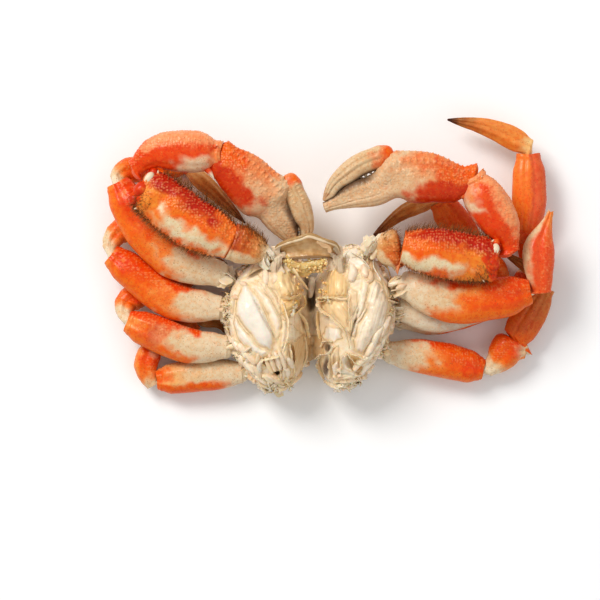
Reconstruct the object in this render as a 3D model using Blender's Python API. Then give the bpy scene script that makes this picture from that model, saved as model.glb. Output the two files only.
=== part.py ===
"""A cooked crab, cleaned and served without its top shell, lying on its underside.

Frame: +Z up, +Y towards the crab's mouth, +X towards its right-hand limbs as seen from above.
Every shell segment of a limb is a separate solid. Neighbouring segments stay a small gap apart.
Lengths are written in millimetres and turned into metres where the meshes are made.
"""

import math

import bmesh
import bpy
from mathutils import Vector

MM = 0.001
FRAME_SHIFT = Vector((0.25, -0.45, 0.0))  # carries the sketch's origin to the middle of the whole crab's base

# Half-widths along one segment, as (share of its length, share of its full width).
PROFILES = {
    "ischium": [(0, 0.42), (0.25, 0.72), (0.7, 0.95), (0.92, 1.0), (1, 0.88)],
    "merus": [(0, 0.55), (0.10, 0.80), (0.35, 1.0), (0.65, 1.0), (0.86, 0.93), (0.95, 0.90), (1, 0.74)],
    "carpus": [(0, 0.50), (0.12, 0.70), (0.5, 0.97), (0.82, 1.0), (0.94, 0.9), (1, 0.62)],
    "wrist": [(0, 0.30), (0.12, 0.56), (0.35, 0.88), (0.55, 1.0), (0.78, 0.98), (0.92, 0.80), (1, 0.50)],
    "spur": [(0, 0.52), (0.12, 0.76), (0.35, 0.97), (0.55, 1.0), (0.68, 0.82), (0.82, 0.45), (1, 0.16)],
    "elbow": [(0, 0.38), (0.2, 0.62), (0.5, 0.90), (0.85, 1.0), (1, 0.86)],
    "propodus": [(0, 0.44), (0.10, 0.74), (0.4, 1.0), (0.75, 0.96), (0.94, 0.82), (1, 0.60)],
    "broad": [(0, 0.80), (0.15, 0.98), (0.45, 1.0), (0.8, 0.84), (1, 0.50)],
    "dactyl": [(0, 0.60), (0.08, 0.90), (0.25, 1.0), (0.55, 0.72), (0.85, 0.34), (1, 0.07)],
    "finger": [(0, 0.62), (0.10, 1.0), (0.40, 0.92), (0.75, 0.62), (0.92, 0.36), (1, 0.10)],
    "palm": [(0, 0.62), (0.07, 0.84), (0.24, 1.0), (0.42, 1.0), (0.50, 0.84), (0.55, 0.46),
             (0.75, 0.38), (0.92, 0.23), (1, 0.07)],
}
RINGS = {"ischium": 5, "merus": 9, "dactyl": 8, "finger": 11, "palm": 19, "wrist": 9, "spur": 10}
SIDES = {"dactyl": 8, "propodus": 10, "broad": 10, "finger": 10, "palm": 16}
USUAL_RINGS = 7
USUAL_SIDES = 12
SQUARENESS = 2.35  # exponent of the superellipse that is each segment's cross-section
AHEAD_STEP = 0.02  # share of a segment's length over which its direction is measured

# A palm runs on into its fixed finger. Its profile above ends the palm at half its length, which is
# stretched to this share of the real length.
PALM_SHARE = {"left_claw": 0.50, "right_claw": 0.46}
USUAL_PALM_SHARE = 0.5
# The fixed finger is thicker than it is wide: its thickness follows this multiple of its width share,
# and never more than the second share.
FIXED_FINGER_THICKNESS = (1.35, 0.62)
TOOTH_COUNT = 5
TOOTH_HEIGHT = 1.1
TOOTH_SPAN = {"palm": (0.60, 0.96), "finger": (0.28, 0.94)}
TEETH_TOWARDS = {"left_claw": 1, "right_claw": -1}  # side of the fixed finger that meets the other finger
TEETH_FACE = 0.6  # how squarely a point of a cross-section must face that side to stand out as a tooth

SHELL_RED = (0.80, 0.16, 0.03)
SHELL_ORANGE = (0.86, 0.27, 0.06)
SHELL_CREAM = (0.84, 0.72, 0.55)
MEAT_WHITE = (0.86, 0.78, 0.68)
SEGMENT_COLOURS = {"ischium": SHELL_CREAM, "merus": SHELL_ORANGE, "carpus": SHELL_RED,
                   "propodus": SHELL_ORANGE, "dactyl": SHELL_CREAM, "finger": SHELL_CREAM,
                   "palm": SHELL_RED}

# Each limb from the body outwards: (segment, profile, points of its middle line, width, thickness).
# The width lies level and across the middle line.
LIMBS = {
    "left_claw": [
        ("ischium", "ischium", [(-31, 1.5, 33), (-47, 7, 34.5)], 20, 14),
        ("merus", "merus", [(-48, 7.3, 35), (-67, 16.2, 36), (-92.5, 35, 35)], 26, 17),
        ("carpus", "wrist", [(-95.5, 43, 35), (-86.5, 51, 36), (-73, 52, 36), (-54, 50.5, 35)], 20.5, 18),
        ("palm", "palm", [(-52, 46, 35), (-39.5, 37, 33), (-28, 23, 29), (-21.5, 13, 26), (-14, 4.5, 24)], 25.5, 15),
        ("finger", "finger", [(-19.4, 38, 31.5), (-14, 26.5, 30), (-10, 16, 27.5), (-10.5, 6.5, 25.5)], 9.5, 9),
    ],
    "right_claw": [
        ("ischium", "ischium", [(23.5, 2.5, 33), (34.8, 4.2, 35)], 20, 14),
        ("merus", "merus", [(37, 4.2, 36), (56, 1.2, 37), (82.5, -2.7, 36)], 24, 17),
        ("carpus", "wrist", [(89.4, 2.9, 34), (88.4, 11.2, 35), (80.5, 23.5, 36), (71.5, 38.5, 36)], 21, 18),
        ("palm", "palm", [(65, 34.5, 36), (50, 38.5, 36), (37, 38.5, 35), (24.5, 32.5, 34.5), (11, 28.3, 34),
                          (-2, 24, 33)], 25, 15),
        ("finger", "finger", [(29.3, 50.6, 36), (16.5, 46.5, 36), (4, 37.5, 35), (-2.5, 27, 33.5)], 9.5, 9.5),
    ],
    "left_leg_1": [
        ("merus", "merus", [(-53, -8.5, 20.5), (-77, -1.5, 21.5), (-94, 15.5, 21.5), (-105, 36.5, 20)], 20.5, 13),
        ("carpus", "carpus", [(-106.3, 39.1, 15), (-102.5, 43.2, 10.5), (-93, 44.8, 6.5)], 13.5, 11),
        ("propodus", "propodus", [(-92, 45, 5.2), (-72.5, 47.5, 4.8)], 14, 9.3),
        ("dactyl", "dactyl", [(-70.5, 44.5, 4), (-57, 32.5, 3.8), (-42, 17.5, 3.2)], 9, 7),
    ],
    "left_leg_2": [
        ("merus", "merus", [(-53.5, -25.5, 18), (-79, -21.8, 16.2), (-108.5, 0.4, 15.5)], 18.8, 12.5),
        ("carpus", "carpus", [(-110, 4, 13), (-106.5, 12, 9.5), (-93, 17.5, 6)], 13.5, 10),
        ("propodus", "propodus", [(-92, 18, 5.2), (-69.5, 26.5, 4.9)], 14, 9.5),
        ("dactyl", "dactyl", [(-66.3, 24.3, 5), (-58, 15, 4.5), (-51.5, 2, 4)], 8, 7),
    ],
    "left_leg_3": [
        ("merus", "merus", [(-50.5, -45.2, 18), (-71, -44.3, 17.6), (-100, -32.8, 15)], 18.3, 13),
        ("carpus", "carpus", [(-102, -29.8, 11.5), (-102, -23, 7), (-91.5, -16.5, 4.9)], 13.5, 9.4),
        ("propodus", "propodus", [(-90.5, -16, 4.8), (-67.5, -8.5, 4.8)], 13.5, 9),
        ("dactyl", "dactyl", [(-66, -8.2, 4.5), (-57, -2.5, 4), (-50.5, -4, 3.5)], 7, 6),
    ],
    "left_leg_4": [
        ("merus", "merus", [(-43, -58.4, 11), (-62, -59.7, 10), (-85.5, -62.3, 8.5)], 16.5, 13),
        ("carpus", "carpus", [(-88, -65.3, 7.5), (-92.5, -56, 7.5), (-89, -45, 6.5)], 12.5, 10.5),
        ("propodus", "propodus", [(-87.6, -43.4, 5), (-67.5, -32.5, 4.8)], 13, 9),
        ("dactyl", "dactyl", [(-66, -31.5, 5), (-55, -33.5, 4.5), (-49.5, -41, 4)], 7, 6),
    ],
    "right_leg_1": [
        ("merus", "merus", [(37.5, -13, 27), (60, -22.3, 28), (80, -21.5, 28), (100, -17.6, 27)], 21.5, 12.5),
        ("carpus", "spur", [(106.8, -18.5, 26), (105.5, -6, 26.5), (105.4, 5, 26.5), (111, 22, 26.5)], 16, 10),
        ("propodus", "propodus", [(99, 6.5, 15.5), (101.5, 30, 16), (101, 51.3, 16)], 18, 10.5),
        ("dactyl", "dactyl", [(101.5, 54.9, 16), (91, 60.9, 16), (78, 66, 15.5), (60.5, 69.3, 14)], 12, 8),
    ],
    "right_leg_2": [
        ("merus", "merus", [(37.5, -26, 18.5), (56, -29, 17), (86, -21.3, 15.5)], 18.5, 10.5),
        ("carpus", "carpus", [(88.4, -17, 12.5), (85.2, -6, 9), (76.5, 1.8, 7)], 12, 9.5),
        ("propodus", "propodus", [(75.5, 3, 6.5), (57, 28, 8)], 17, 9.5),
        ("dactyl", "dactyl", [(54.5, 29.3, 8.5), (38, 22.5, 9), (21.5, 9, 8)], 8.5, 7),
    ],
    "right_leg_3": [
        ("merus", "merus", [(38, -31, 6), (56, -31.5, 5.8), (88.5, -22.2, 5.4)], 16, 10),
        ("carpus", "carpus", [(90.5, -21.5, 5.1), (97, -17.5, 4.9), (102.5, -6.5, 4.8)], 11, 9),
        ("propodus", "propodus", [(103, -5, 4.7), (103, 24, 4.7)], 14, 8.5),
        ("dactyl", "dactyl", [(103, 25.2, 4.5), (102, 36, 4.5), (99, 48, 4)], 8, 6.5),
    ],
    "right_leg_4": [
        ("merus", "merus", [(31, -48.3, 13), (52, -51, 11), (78, -56.6, 9)], 18, 13.5),
        ("carpus", "elbow", [(80.6, -57, 9.5), (87, -52, 9.5), (93.8, -41.8, 10)], 17.5, 11.5),
        ("propodus", "broad", [(95, -40.5, 10.5), (101, -31.5, 11.5), (109.5, -16, 13)], 17.5, 9.5),
        ("dactyl", "dactyl", [(109.5, -13.5, 13), (101.5, -6, 13), (89, 2, 12)], 7, 6),
    ],
}

# The body: two lobes that meet along the breastbone, each a row of stations from front to rear as
# (y, nearest x, furthest x, height of the crown), on the left lobe with x measured from the middle line.
MIDDLE_X = -8.0
LEFT_LOBE = [(0.5, 9, 25, 25), (-5, 1.5, 34, 32), (-14, 0, 41, 38), (-26, 0, 44.5, 41), (-40, 0, 42, 41),
             (-52, 0.5, 37, 38), (-61, 6, 31, 32), (-67, 13.5, 25, 24)]
RIGHT_LOBE = [(4.5, 16, 28, 25), (-3, 6, 34, 32), (-12, 0, 39, 37), (-24, 0, 41.5, 41), (-38, 0, 40.5, 40),
              (-50, 0.5, 35, 38), (-60, 5.5, 27, 31), (-67, 10.5, 17, 23)]
LOBE_SIDES = 30
LOBE_RINGS = 22
LOBE_SQUARENESS = 2.7
FLAT_SHARE = 0.03      # how much of a lobe's height is cut away to make its flat underside
KEEL_SHARE = 0.72      # width of the flat underside, as a share of the lobe's width
KEEL_HEIGHT = 0.35     # share of the lobe's height by which it has widened to its full width
END_SHARE = 0.12       # share of the body's length, at the front and at the rear, that clears the ground
END_LIFT = 6.0         # how far those ends stand above it
TROUGH_DEPTH = 17.0    # how far the inner edge of each lobe's top falls towards the middle line
TROUGH_REACH = 11.0    # distance from the middle line at which that fall begins
SEAM_BAND = 0.5        # distance from the middle line within which the left lobe is drawn into the right
SEAM_OVERLAP = 3.0

# The mouth frame: a bowed wall across the front of the body, leaning forwards from its foot to its head.
FRAME_CENTRE = (-9.5, -2.3)
FRAME_FOOT_RADII = (12.5, 5.0)
FRAME_HEAD_RADII = (16.0, 10.5)
FRAME_WALL = 1.8
FRAME_BOTTOM = 31.0
FRAME_TOP = 40.5
FRAME_PEAK = 2.0
FRAME_ARC = (10.0, 170.0)
FRAME_STEPS = 24


def clear_scene():
    """Removes what the scene starts with."""
    for obj in list(bpy.data.objects):
        bpy.data.objects.remove(obj)


def shell_material(name, colour, roughness=0.35):
    """A plain coloured finish for one kind of piece."""
    material = bpy.data.materials.get(name) or bpy.data.materials.new(name)
    material.use_nodes = True
    shader = material.node_tree.nodes["Principled BSDF"]
    shader.inputs["Base Color"].default_value = (*colour, 1.0)
    shader.inputs["Roughness"].default_value = roughness
    shader.inputs["Metallic"].default_value = 0.0
    return material


def add_object(name, mesh, material, parent):
    """Links a finished mesh into the scene as one named sub-part."""
    mesh.shade_smooth()
    mesh.materials.append(material)
    obj = bpy.data.objects.new(name, mesh)
    obj.parent = parent
    bpy.context.scene.collection.objects.link(obj)
    return obj


def read_curve(rows, share):
    """The value at one place in rows of (place, value), along a straight line between neighbours."""
    for (start, low), (end, high) in zip(rows, rows[1:]):
        if share <= end:
            step = (share - start) / (end - start)
            return low + (high - low) * step
    return rows[-1][1]


def curve_point(points, share):
    """A point of the Catmull-Rom curve through points, at a share of its length."""
    if len(points) == 2:
        return points[0].lerp(points[1], share)
    spans = [(b - a).length for a, b in zip(points, points[1:])]
    target = share * sum(spans)
    index = 0
    while index < len(spans) - 1 and target > spans[index]:
        target -= spans[index]
        index += 1
    t = min(1.0, target / spans[index])
    before = points[index - 1] if index else 2 * points[0] - points[1]
    after = points[index + 2] if index + 2 < len(points) else 2 * points[-1] - points[-2]
    a, b = points[index], points[index + 1]
    return 0.5 * (2 * a + (b - before) * t + (2 * before - 5 * a + 4 * b - after) * t * t
                  + (3 * a - before - 3 * b + after) * t ** 3)


def loft(name, rings):
    """A closed mesh through rings of equal size, with flat ends."""
    shape = bmesh.new()
    rows = [[shape.verts.new(point * MM) for point in ring] for ring in rings]
    for low, high in zip(rows, rows[1:]):
        for i in range(len(low)):
            j = (i + 1) % len(low)
            shape.faces.new((low[i], low[j], high[j], high[i]))
    shape.faces.new(list(reversed(rows[0])))
    shape.faces.new(rows[-1])
    bmesh.ops.recalc_face_normals(shape, faces=shape.faces)
    bmesh.ops.triangulate(shape, faces=shape.faces)
    mesh = bpy.data.meshes.new(name)
    shape.to_mesh(mesh)
    shape.free()
    return mesh


def tooth_height(segment, share):
    """How far the teeth of a finger stand out at one place along it."""
    if segment not in TOOTH_SPAN:
        return 0.0
    start, end = TOOTH_SPAN[segment]
    if not start < share < end:
        return 0.0
    phase = (share - start) / (end - start) * TOOTH_COUNT
    return TOOTH_HEIGHT * (0.5 - 0.5 * math.cos(2 * math.pi * phase))


def stretched(share, palm_share):
    """The place in the palm's profile for a place along this palm, whose finger begins at palm_share."""
    if share < palm_share:
        return 0.5 * share / palm_share
    return 0.5 + 0.5 * (share - palm_share) / (1 - palm_share)


def segment_rings(segment, profile, points, width, thickness, toothed, palm_share):
    """The cross-sections of one limb segment."""
    line = [Vector(p) + FRAME_SHIFT for p in points]
    count, sides = RINGS.get(profile, USUAL_RINGS), SIDES.get(profile, USUAL_SIDES)
    power = 2 / SQUARENESS
    rings = []
    for k in range(count):
        share = k / (count - 1)
        centre = curve_point(line, share)
        ahead = curve_point(line, min(1.0, share + AHEAD_STEP)) - curve_point(line, max(0.0, share - AHEAD_STEP))
        ahead.normalize()
        across = Vector((0, 0, 1)).cross(ahead).normalized()
        upward = ahead.cross(across)
        if segment == "palm":
            size = read_curve(PROFILES[profile], stretched(share, palm_share))
            depth = max(size, min(FIXED_FINGER_THICKNESS[1], FIXED_FINGER_THICKNESS[0] * size))
        else:
            size = depth = read_curve(PROFILES[profile], share)
        half_width = 0.5 * width * size
        half_thick = 0.5 * thickness * depth
        ring = []
        for i in range(sides):
            angle = 2 * math.pi * i / sides
            c, s = math.cos(angle), math.sin(angle)
            x = math.copysign(abs(c) ** power, c) * half_width
            z = math.copysign(abs(s) ** power, s) * half_thick
            if c * toothed > TEETH_FACE:
                x += toothed * tooth_height(segment, share)
            ring.append(centre + across * x + upward * z)
        rings.append(ring)
    return rings


def build_limb(limb, segments, parent):
    """Every segment of one limb, as its own object."""
    towards = TEETH_TOWARDS.get(limb, 0)
    palm_share = PALM_SHARE.get(limb, USUAL_PALM_SHARE)
    for segment, profile, points, width, thickness in segments:
        toothed = {"palm": towards, "finger": -towards}.get(segment, 0)
        rings = segment_rings(segment, profile, points, width, thickness, toothed, palm_share)
        name = f"{limb}_{segment}"
        material = shell_material(f"{segment}_shell", SEGMENT_COLOURS[segment])
        add_object(name, loft(name, rings), material, parent)


def lobe_rings(stations, side):
    """The cross-sections of one half of the body, from front to rear."""
    rows_near = [(-y, near) for y, near, far, top in stations]
    rows_far = [(-y, far) for y, near, far, top in stations]
    rows_top = [(-y, top) for y, near, far, top in stations]
    first, last = rows_near[0][0], rows_near[-1][0]
    rings = []
    for k in range(LOBE_RINGS):
        share = k / (LOBE_RINGS - 1)
        place = first + (last - first) * share
        near, far = read_curve(rows_near, place), read_curve(rows_far, place)
        top = read_curve(rows_top, place)
        middle, half = (near + far) / 2, (far - near) / 2
        floor = 0.0 if END_SHARE < share < 1 - END_SHARE else END_LIFT
        ring = []
        for i in range(LOBE_SIDES):
            angle = 2 * math.pi * i / LOBE_SIDES
            c, s = math.cos(angle), math.sin(angle)
            power = 2 / LOBE_SQUARENESS
            x = math.copysign(abs(c) ** power, c) * half
            z = 0.5 * (1 + math.copysign(abs(s) ** power, s))
            x *= KEEL_SHARE + (1 - KEEL_SHARE) * min(1.0, z / KEEL_HEIGHT)
            out = middle + x
            z = max(0.0, (z - FLAT_SHARE) / (1 - FLAT_SHARE))
            height = floor + (top - floor) * z
            fall = max(0.0, 1 - out / TROUGH_REACH)
            height -= TROUGH_DEPTH * fall * fall * (3 - 2 * fall) * z
            ring.append(Vector((MIDDLE_X + side * out, -place, height)) + FRAME_SHIFT)
        rings.append(ring)
    return rings


def build_body(parent):
    """The two lobes of the body, joined along the breastbone."""
    material = shell_material("body_meat", MEAT_WHITE, 0.45)
    left = add_object("body", loft("body", lobe_rings(LEFT_LOBE, -1)), material, parent)
    right = add_object("body_right_lobe", loft("body_right_lobe", lobe_rings(RIGHT_LOBE, 1)), material, parent)
    for vertex in left.data.vertices:
        if vertex.co.x > (MIDDLE_X - SEAM_BAND + FRAME_SHIFT.x) * MM:
            vertex.co.x += SEAM_OVERLAP * MM
    join = left.modifiers.new("join lobes", "BOOLEAN")
    join.operation = "UNION"
    join.object = right
    right.hide_render = True
    right.display_type = "WIRE"


def build_mouth_frame(parent):
    """The bowed wall of shell across the front of the body."""
    rings = []
    for k in range(FRAME_STEPS + 1):
        share = k / FRAME_STEPS
        angle = math.radians(FRAME_ARC[0] + (FRAME_ARC[1] - FRAME_ARC[0]) * share)
        outward = Vector((math.cos(angle), math.sin(angle), 0))
        rise = FRAME_PEAK * math.sin(math.pi * share)
        foot = Vector((FRAME_CENTRE[0] + FRAME_FOOT_RADII[0] * outward.x,
                       FRAME_CENTRE[1] + FRAME_FOOT_RADII[1] * outward.y, FRAME_BOTTOM))
        head = Vector((FRAME_CENTRE[0] + FRAME_HEAD_RADII[0] * outward.x,
                       FRAME_CENTRE[1] + FRAME_HEAD_RADII[1] * outward.y, FRAME_TOP + rise))
        wall = outward * FRAME_WALL
        rings.append([p + FRAME_SHIFT for p in (foot, foot + wall, head + wall, head)])
    add_object("mouth_frame", loft("mouth_frame", rings), shell_material("frame_shell", SHELL_CREAM), parent)


def main():
    clear_scene()
    crab = bpy.data.objects.new("crab", None)
    bpy.context.scene.collection.objects.link(crab)
    build_body(crab)
    build_mouth_frame(crab)
    for limb, segments in LIMBS.items():
        build_limb(limb, segments, crab)


main()
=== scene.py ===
"""The looks of a cleaned cooked crab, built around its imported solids.

Every shell segment is rebuilt as a fine skin over the path and the thickness of its own solid, with
lips, knobs, flutes, spines and bristles. The body is a core with muscle bundles, membranes, thin
walls, flakes and crumbs of fat laid over it. Lengths in the tables are in millimetres.
"""

import math

import bmesh
import bpy
import numpy as np
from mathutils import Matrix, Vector
from mathutils.bvhtree import BVHTree


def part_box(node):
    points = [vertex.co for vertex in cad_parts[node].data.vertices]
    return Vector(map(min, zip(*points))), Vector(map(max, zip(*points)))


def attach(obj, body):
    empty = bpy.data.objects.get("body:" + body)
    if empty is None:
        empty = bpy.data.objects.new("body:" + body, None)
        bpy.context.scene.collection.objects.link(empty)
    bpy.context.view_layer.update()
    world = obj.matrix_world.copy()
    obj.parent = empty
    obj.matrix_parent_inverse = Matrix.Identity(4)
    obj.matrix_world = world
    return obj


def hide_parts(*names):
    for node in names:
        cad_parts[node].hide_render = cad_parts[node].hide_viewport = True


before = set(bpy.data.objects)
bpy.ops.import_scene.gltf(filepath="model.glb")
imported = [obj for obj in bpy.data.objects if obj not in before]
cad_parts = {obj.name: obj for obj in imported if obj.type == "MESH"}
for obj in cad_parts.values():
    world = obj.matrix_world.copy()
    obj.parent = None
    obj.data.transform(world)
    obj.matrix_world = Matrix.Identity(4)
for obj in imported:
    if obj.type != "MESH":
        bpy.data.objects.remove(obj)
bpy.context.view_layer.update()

bl_info = {
    "name": "Cooked crab",
    "version": (1, 0, 0),
    "blender": (4, 5, 0),
    "location": "3D View > Sidebar > Crab",
    "description": "Dresses the solids of a cleaned cooked crab with shell, bristles, meat and membranes",
    "category": "Object",
}

MM = 0.001
FARTHEST = 0.08  # how far a ray is cast inside a solid
UP = np.array((0.0, 0.0, 1.0))
LEANING = np.array((0.3, 1.0, 0.0))  # the side of a segment that faces this way is its front side
SIDES = ("left", "right")
LEGS = tuple(f"{side}_leg_{number}" for side in SIDES for number in (1, 2, 3, 4))
CLAWS = tuple(f"{side}_claw" for side in SIDES)
TRACED = {}  # the path of every limb's first segment, for the joints with the body


# ---------------------------------------------------------------- numbers that vary smoothly

def unit(vectors):
    """Vectors scaled to length one."""
    return vectors / np.maximum(np.linalg.norm(vectors, axis=-1, keepdims=True), 1e-12)


def ease(value, low, high):
    """Rises smoothly from 0 at low to 1 at high."""
    share = np.clip((value - low) / (high - low), 0.0, 1.0)
    return share * share * (3 - 2 * share)


def bump(value, middle, width):
    """A rounded bump of height one."""
    return np.exp(-((value - middle) / width) ** 2)


def lattice(cells, seed):
    """A repeatable random number from 0 to 1 for each whole-numbered cell."""
    mixed = np.sin(cells @ np.array((12.9898, 78.233, 37.719)) + seed * 4.137) * 43758.5453
    return mixed - np.floor(mixed)


def wobble(points, size, seed):
    """Smooth noise from -1 to 1 that changes over about size, for points and size in metres."""
    place = points / size
    cell = np.floor(place)
    part = place - cell
    part = part * part * (3 - 2 * part)
    total = np.zeros(len(points))
    for corner in np.ndindex(2, 2, 2):
        corner = np.array(corner, float)
        weight = np.prod(np.where(corner > 0, part, 1 - part), axis=1)
        total += weight * lattice(cell + corner, seed)
    return 2 * total - 1


def rough(points, size, seed):
    """Three sizes of wobble added up."""
    return sum(wobble(points, size / 2 ** k, seed + k) / 1.8 ** k for k in range(3)) / 1.6


def pimples(points, spacing, seed):
    """Rounded grains about spacing apart: 1 at the middle of a grain and 0 between grains."""
    place = points / spacing
    cell = np.floor(place)
    nearest = np.full(len(points), 9.0)
    for step in np.ndindex(3, 3, 3):
        near = cell + np.array(step, float) - 1
        middle = near + 0.2 + 0.6 * np.stack([lattice(near, seed + k) for k in (1, 2, 3)], axis=1)
        nearest = np.minimum(nearest, ((place - middle) ** 2).sum(axis=1))
    return np.clip(1 - nearest / 0.45, 0, 1)


def spline(rows, places):
    """Points on the smooth curve through evenly spaced rows, at places from 0 to 1."""
    rows = np.asarray(rows, float)
    last = len(rows) - 1
    spot = np.clip(np.asarray(places, float), 0, 1) * last
    index = np.minimum(spot.astype(int), last - 1)
    part = (spot - index)[:, None]
    a, b = rows[index], rows[index + 1]
    before = np.where((index > 0)[:, None], rows[np.maximum(index - 1, 0)], 2 * a - b)
    after = np.where((index < last - 1)[:, None], rows[np.minimum(index + 2, last)], 2 * b - a)
    return 0.5 * (2 * a + (b - before) * part + (2 * before - 5 * a + 4 * b - after) * part ** 2
                  + (3 * a - before - 3 * b + after) * part ** 3)


def length_of(line):
    """The length of a line of points."""
    return np.linalg.norm(np.diff(line, axis=0), axis=1).sum()


def even(rows, count):
    """The smooth curve through rows, resampled to count points an even distance apart."""
    fine = spline(rows, np.linspace(0, 1, 12 * len(rows)))
    travel = np.concatenate([[0], np.cumsum(np.linalg.norm(np.diff(fine, axis=0), axis=1))])
    wanted = np.linspace(0, travel[-1], count)
    return np.stack([np.interp(wanted, travel, fine[:, k]) for k in range(3)], axis=1)


def smoothed(rows, passes):
    """Rows averaged with their neighbours, with the ends kept."""
    rows = np.array(rows, float)
    for _ in range(passes):
        rows[1:-1] = 0.25 * rows[:-2] + 0.5 * rows[1:-1] + 0.25 * rows[2:]
    return rows


# ---------------------------------------------------------------- the path of a segment's solid

class Path:
    """A middle line with its directions, and how far the surface is from it all the way round."""

    STATIONS = 41
    RAYS = 24
    ANGLES = np.linspace(0, 2 * math.pi, RAYS, endpoint=False)

    def __init__(self, line, ahead=None, flip=None):
        self.line = np.asarray(line, float)
        self.ahead = unit(np.gradient(self.line, axis=0)) if ahead is None else ahead
        across = unit(np.cross(UP, self.ahead))
        if flip is None:
            flip = across[len(across) // 2] @ LEANING < 0
        self.front = -across if flip else across
        self.upward = unit(np.cross(self.ahead, across))
        self.radii = None

    def spokes(self, station):
        """The directions of the rays at one station."""
        return (np.cos(self.ANGLES)[:, None] * self.front[station]
                + np.sin(self.ANGLES)[:, None] * self.upward[station])

    def at(self, places):
        """The line, its three directions and its radii at places from 0 to 1."""
        directions = (unit(spline(rows, places)) for rows in (self.ahead, self.front, self.upward))
        return spline(self.line, places), *directions, spline(self.radii, places)

    def on(self, place, angle):
        """One point of the surface and its outward direction, at an angle from the front side."""
        line, _, front, upward, radii = (rows[0] for rows in self.at(np.array([place])))
        outward = unit(front * math.cos(angle) + upward * math.sin(angle))
        return line + outward * np.interp(angle, self.ANGLES, radii, period=2 * math.pi), outward

    def reach_back(self, point, longest):
        """Lengthens the start of the path to a point, so that this segment meets the one before it."""
        way = point - self.line[0]
        length = np.linalg.norm(way)
        way *= min(1.0, longest / length)
        step = np.linalg.norm(self.line[1] - self.line[0])
        count = int(np.linalg.norm(way) / step)
        if count < 1:
            return
        shares = np.linspace(1, 0, count, endpoint=False)
        self.line = np.concatenate([self.line[0] + shares[:, None] * way, self.line])
        for name in ("ahead", "front", "upward"):
            rows = getattr(self, name)
            setattr(self, name, np.concatenate([np.repeat(rows[:1], count, axis=0), rows]))
        narrowed = self.radii[:1] * (1 - 0.12 * shares[:, None])
        self.radii = np.concatenate([narrowed, self.radii])


def solid_tree(node):
    """The vertices of a solid, and a tree that rays can be cast at."""
    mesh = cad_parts[node].data
    points = [v.co.copy() for v in mesh.vertices]
    return np.array(points), BVHTree.FromPolygons(points, [p.vertices[:] for p in mesh.polygons])


def ray_length(tree, start, direction):
    """How far it is from a point inside a solid to its surface."""
    hit = tree.ray_cast(Vector(start), Vector(direction), FARTHEST)
    return hit[3] if hit[0] is not None else 0.0


def end_cap(tree, start, direction):
    """Where a segment ends beyond a point, and which way its end faces."""
    place, normal, _, length = tree.ray_cast(Vector(start), Vector(direction), FARTHEST)
    if place is None:
        return start, direction
    normal = np.array(normal)
    normal *= np.sign(normal @ direction)
    blunt = normal @ direction > 0.6
    return start + direction * length * 0.98, normal if blunt else direction


def long_axis(points, way):
    """The axis of a solid's points that runs most along a way, or the way itself in a stubby solid."""
    extents, axes = np.linalg.svd(points - points.mean(axis=0), full_matrices=False)[1:]
    axis = axes[np.argmax(extents * np.abs(axes @ way))]
    stubby = extents[0] < 1.6 * extents[1]
    return way if stubby and abs(axis @ way) < 0.97 else axis


def trace(node, start, beyond):
    """The path of one segment's solid, from its end nearest to start to the end that faces beyond."""
    points, tree = solid_tree(node)
    middle = points.mean(axis=0)
    axis = long_axis(points, unit(beyond - start))
    reach = (points - middle) @ axis
    line = middle + np.linspace(reach.min() * 0.9, reach.max() * 0.9, 15)[:, None] * axis
    if np.linalg.norm(line[-1] - start) < np.linalg.norm(line[0] - start):
        line = line[::-1]
    for _ in range(6):
        path = Path(line, flip=False)
        centres = []
        for station, here in enumerate(path.line):
            spokes = path.spokes(station)
            reaches = np.array([ray_length(tree, here, spoke) for spoke in spokes])
            centres.append(here + (spokes * reaches[:, None]).mean(axis=0))
        inner = smoothed(centres, 2)[2:-2]
        low, low_facing = end_cap(tree, inner[0], unit(inner[0] - inner[1]))
        high, high_facing = end_cap(tree, inner[-1], unit(inner[-1] - inner[-2]))
        line = even(np.concatenate([[low], inner, [high]]), 15)
    line = even(line, Path.STATIONS)
    share = np.linspace(0, 1, Path.STATIONS)[:, None]
    ahead = unit(np.gradient(line, axis=0))
    ahead = unit(ahead + (-low_facing - ahead) * (1 - ease(share, 0.0, 0.3)))
    ahead = unit(ahead + (high_facing - ahead) * ease(share, 0.7, 1.0))
    for _ in range(2):
        path = Path(line, ahead)
        line = smoothed([path.line[k] + np.mean([spoke * ray_length(tree, path.line[k], spoke)
                                                 for spoke in path.spokes(k)], axis=0)
                         for k in range(Path.STATIONS)], 1)
    path = Path(line, ahead)
    radii = np.array([[ray_length(tree, path.line[k], spoke) for spoke in path.spokes(k)]
                      for k in range(Path.STATIONS)])
    for inner, ends in ((4, slice(0, 4)), (-5, slice(-4, None))):  # rays at a slanting end fall short
        if radii[inner].mean() > 2.2 * MM:
            radii[ends] = np.maximum(radii[ends], 0.85 * radii[inner])
    path.radii = smoothed(radii, 2)
    return path


# Segments whose solid starts close beside the end of the one before, so they reach back only a little.
TIGHT = ("left_claw_carpus", "right_claw_carpus", "right_leg_4_carpus")


def middle_of(node):
    """The middle of a solid's box."""
    low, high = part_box(node)
    return (np.array(low) + np.array(high)) / 2


def trace_limb(limb, segments):
    """The paths of a limb's segments from the body outwards, each reaching back to the one before."""
    paths = {}
    middles = [middle_of(f"{limb}_{segment}") for segment in segments]
    start = 2 * middles[0] - middles[1]
    for number, segment in enumerate(segments):
        beyond = middles[number + 1] if number + 1 < len(middles) else 2 * middles[number] - start
        path = trace(f"{limb}_{segment}", start, beyond)
        end = path.line[-1]
        if paths and segment != "finger":
            path.reach_back(start, 3.5 * MM if f"{limb}_{segment}" in TIGHT else 7 * MM)
        paths[segment] = path
        TRACED.setdefault(limb, path)
        start = paths["palm"].line[25] if segment == "palm" else end
    return paths


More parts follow.
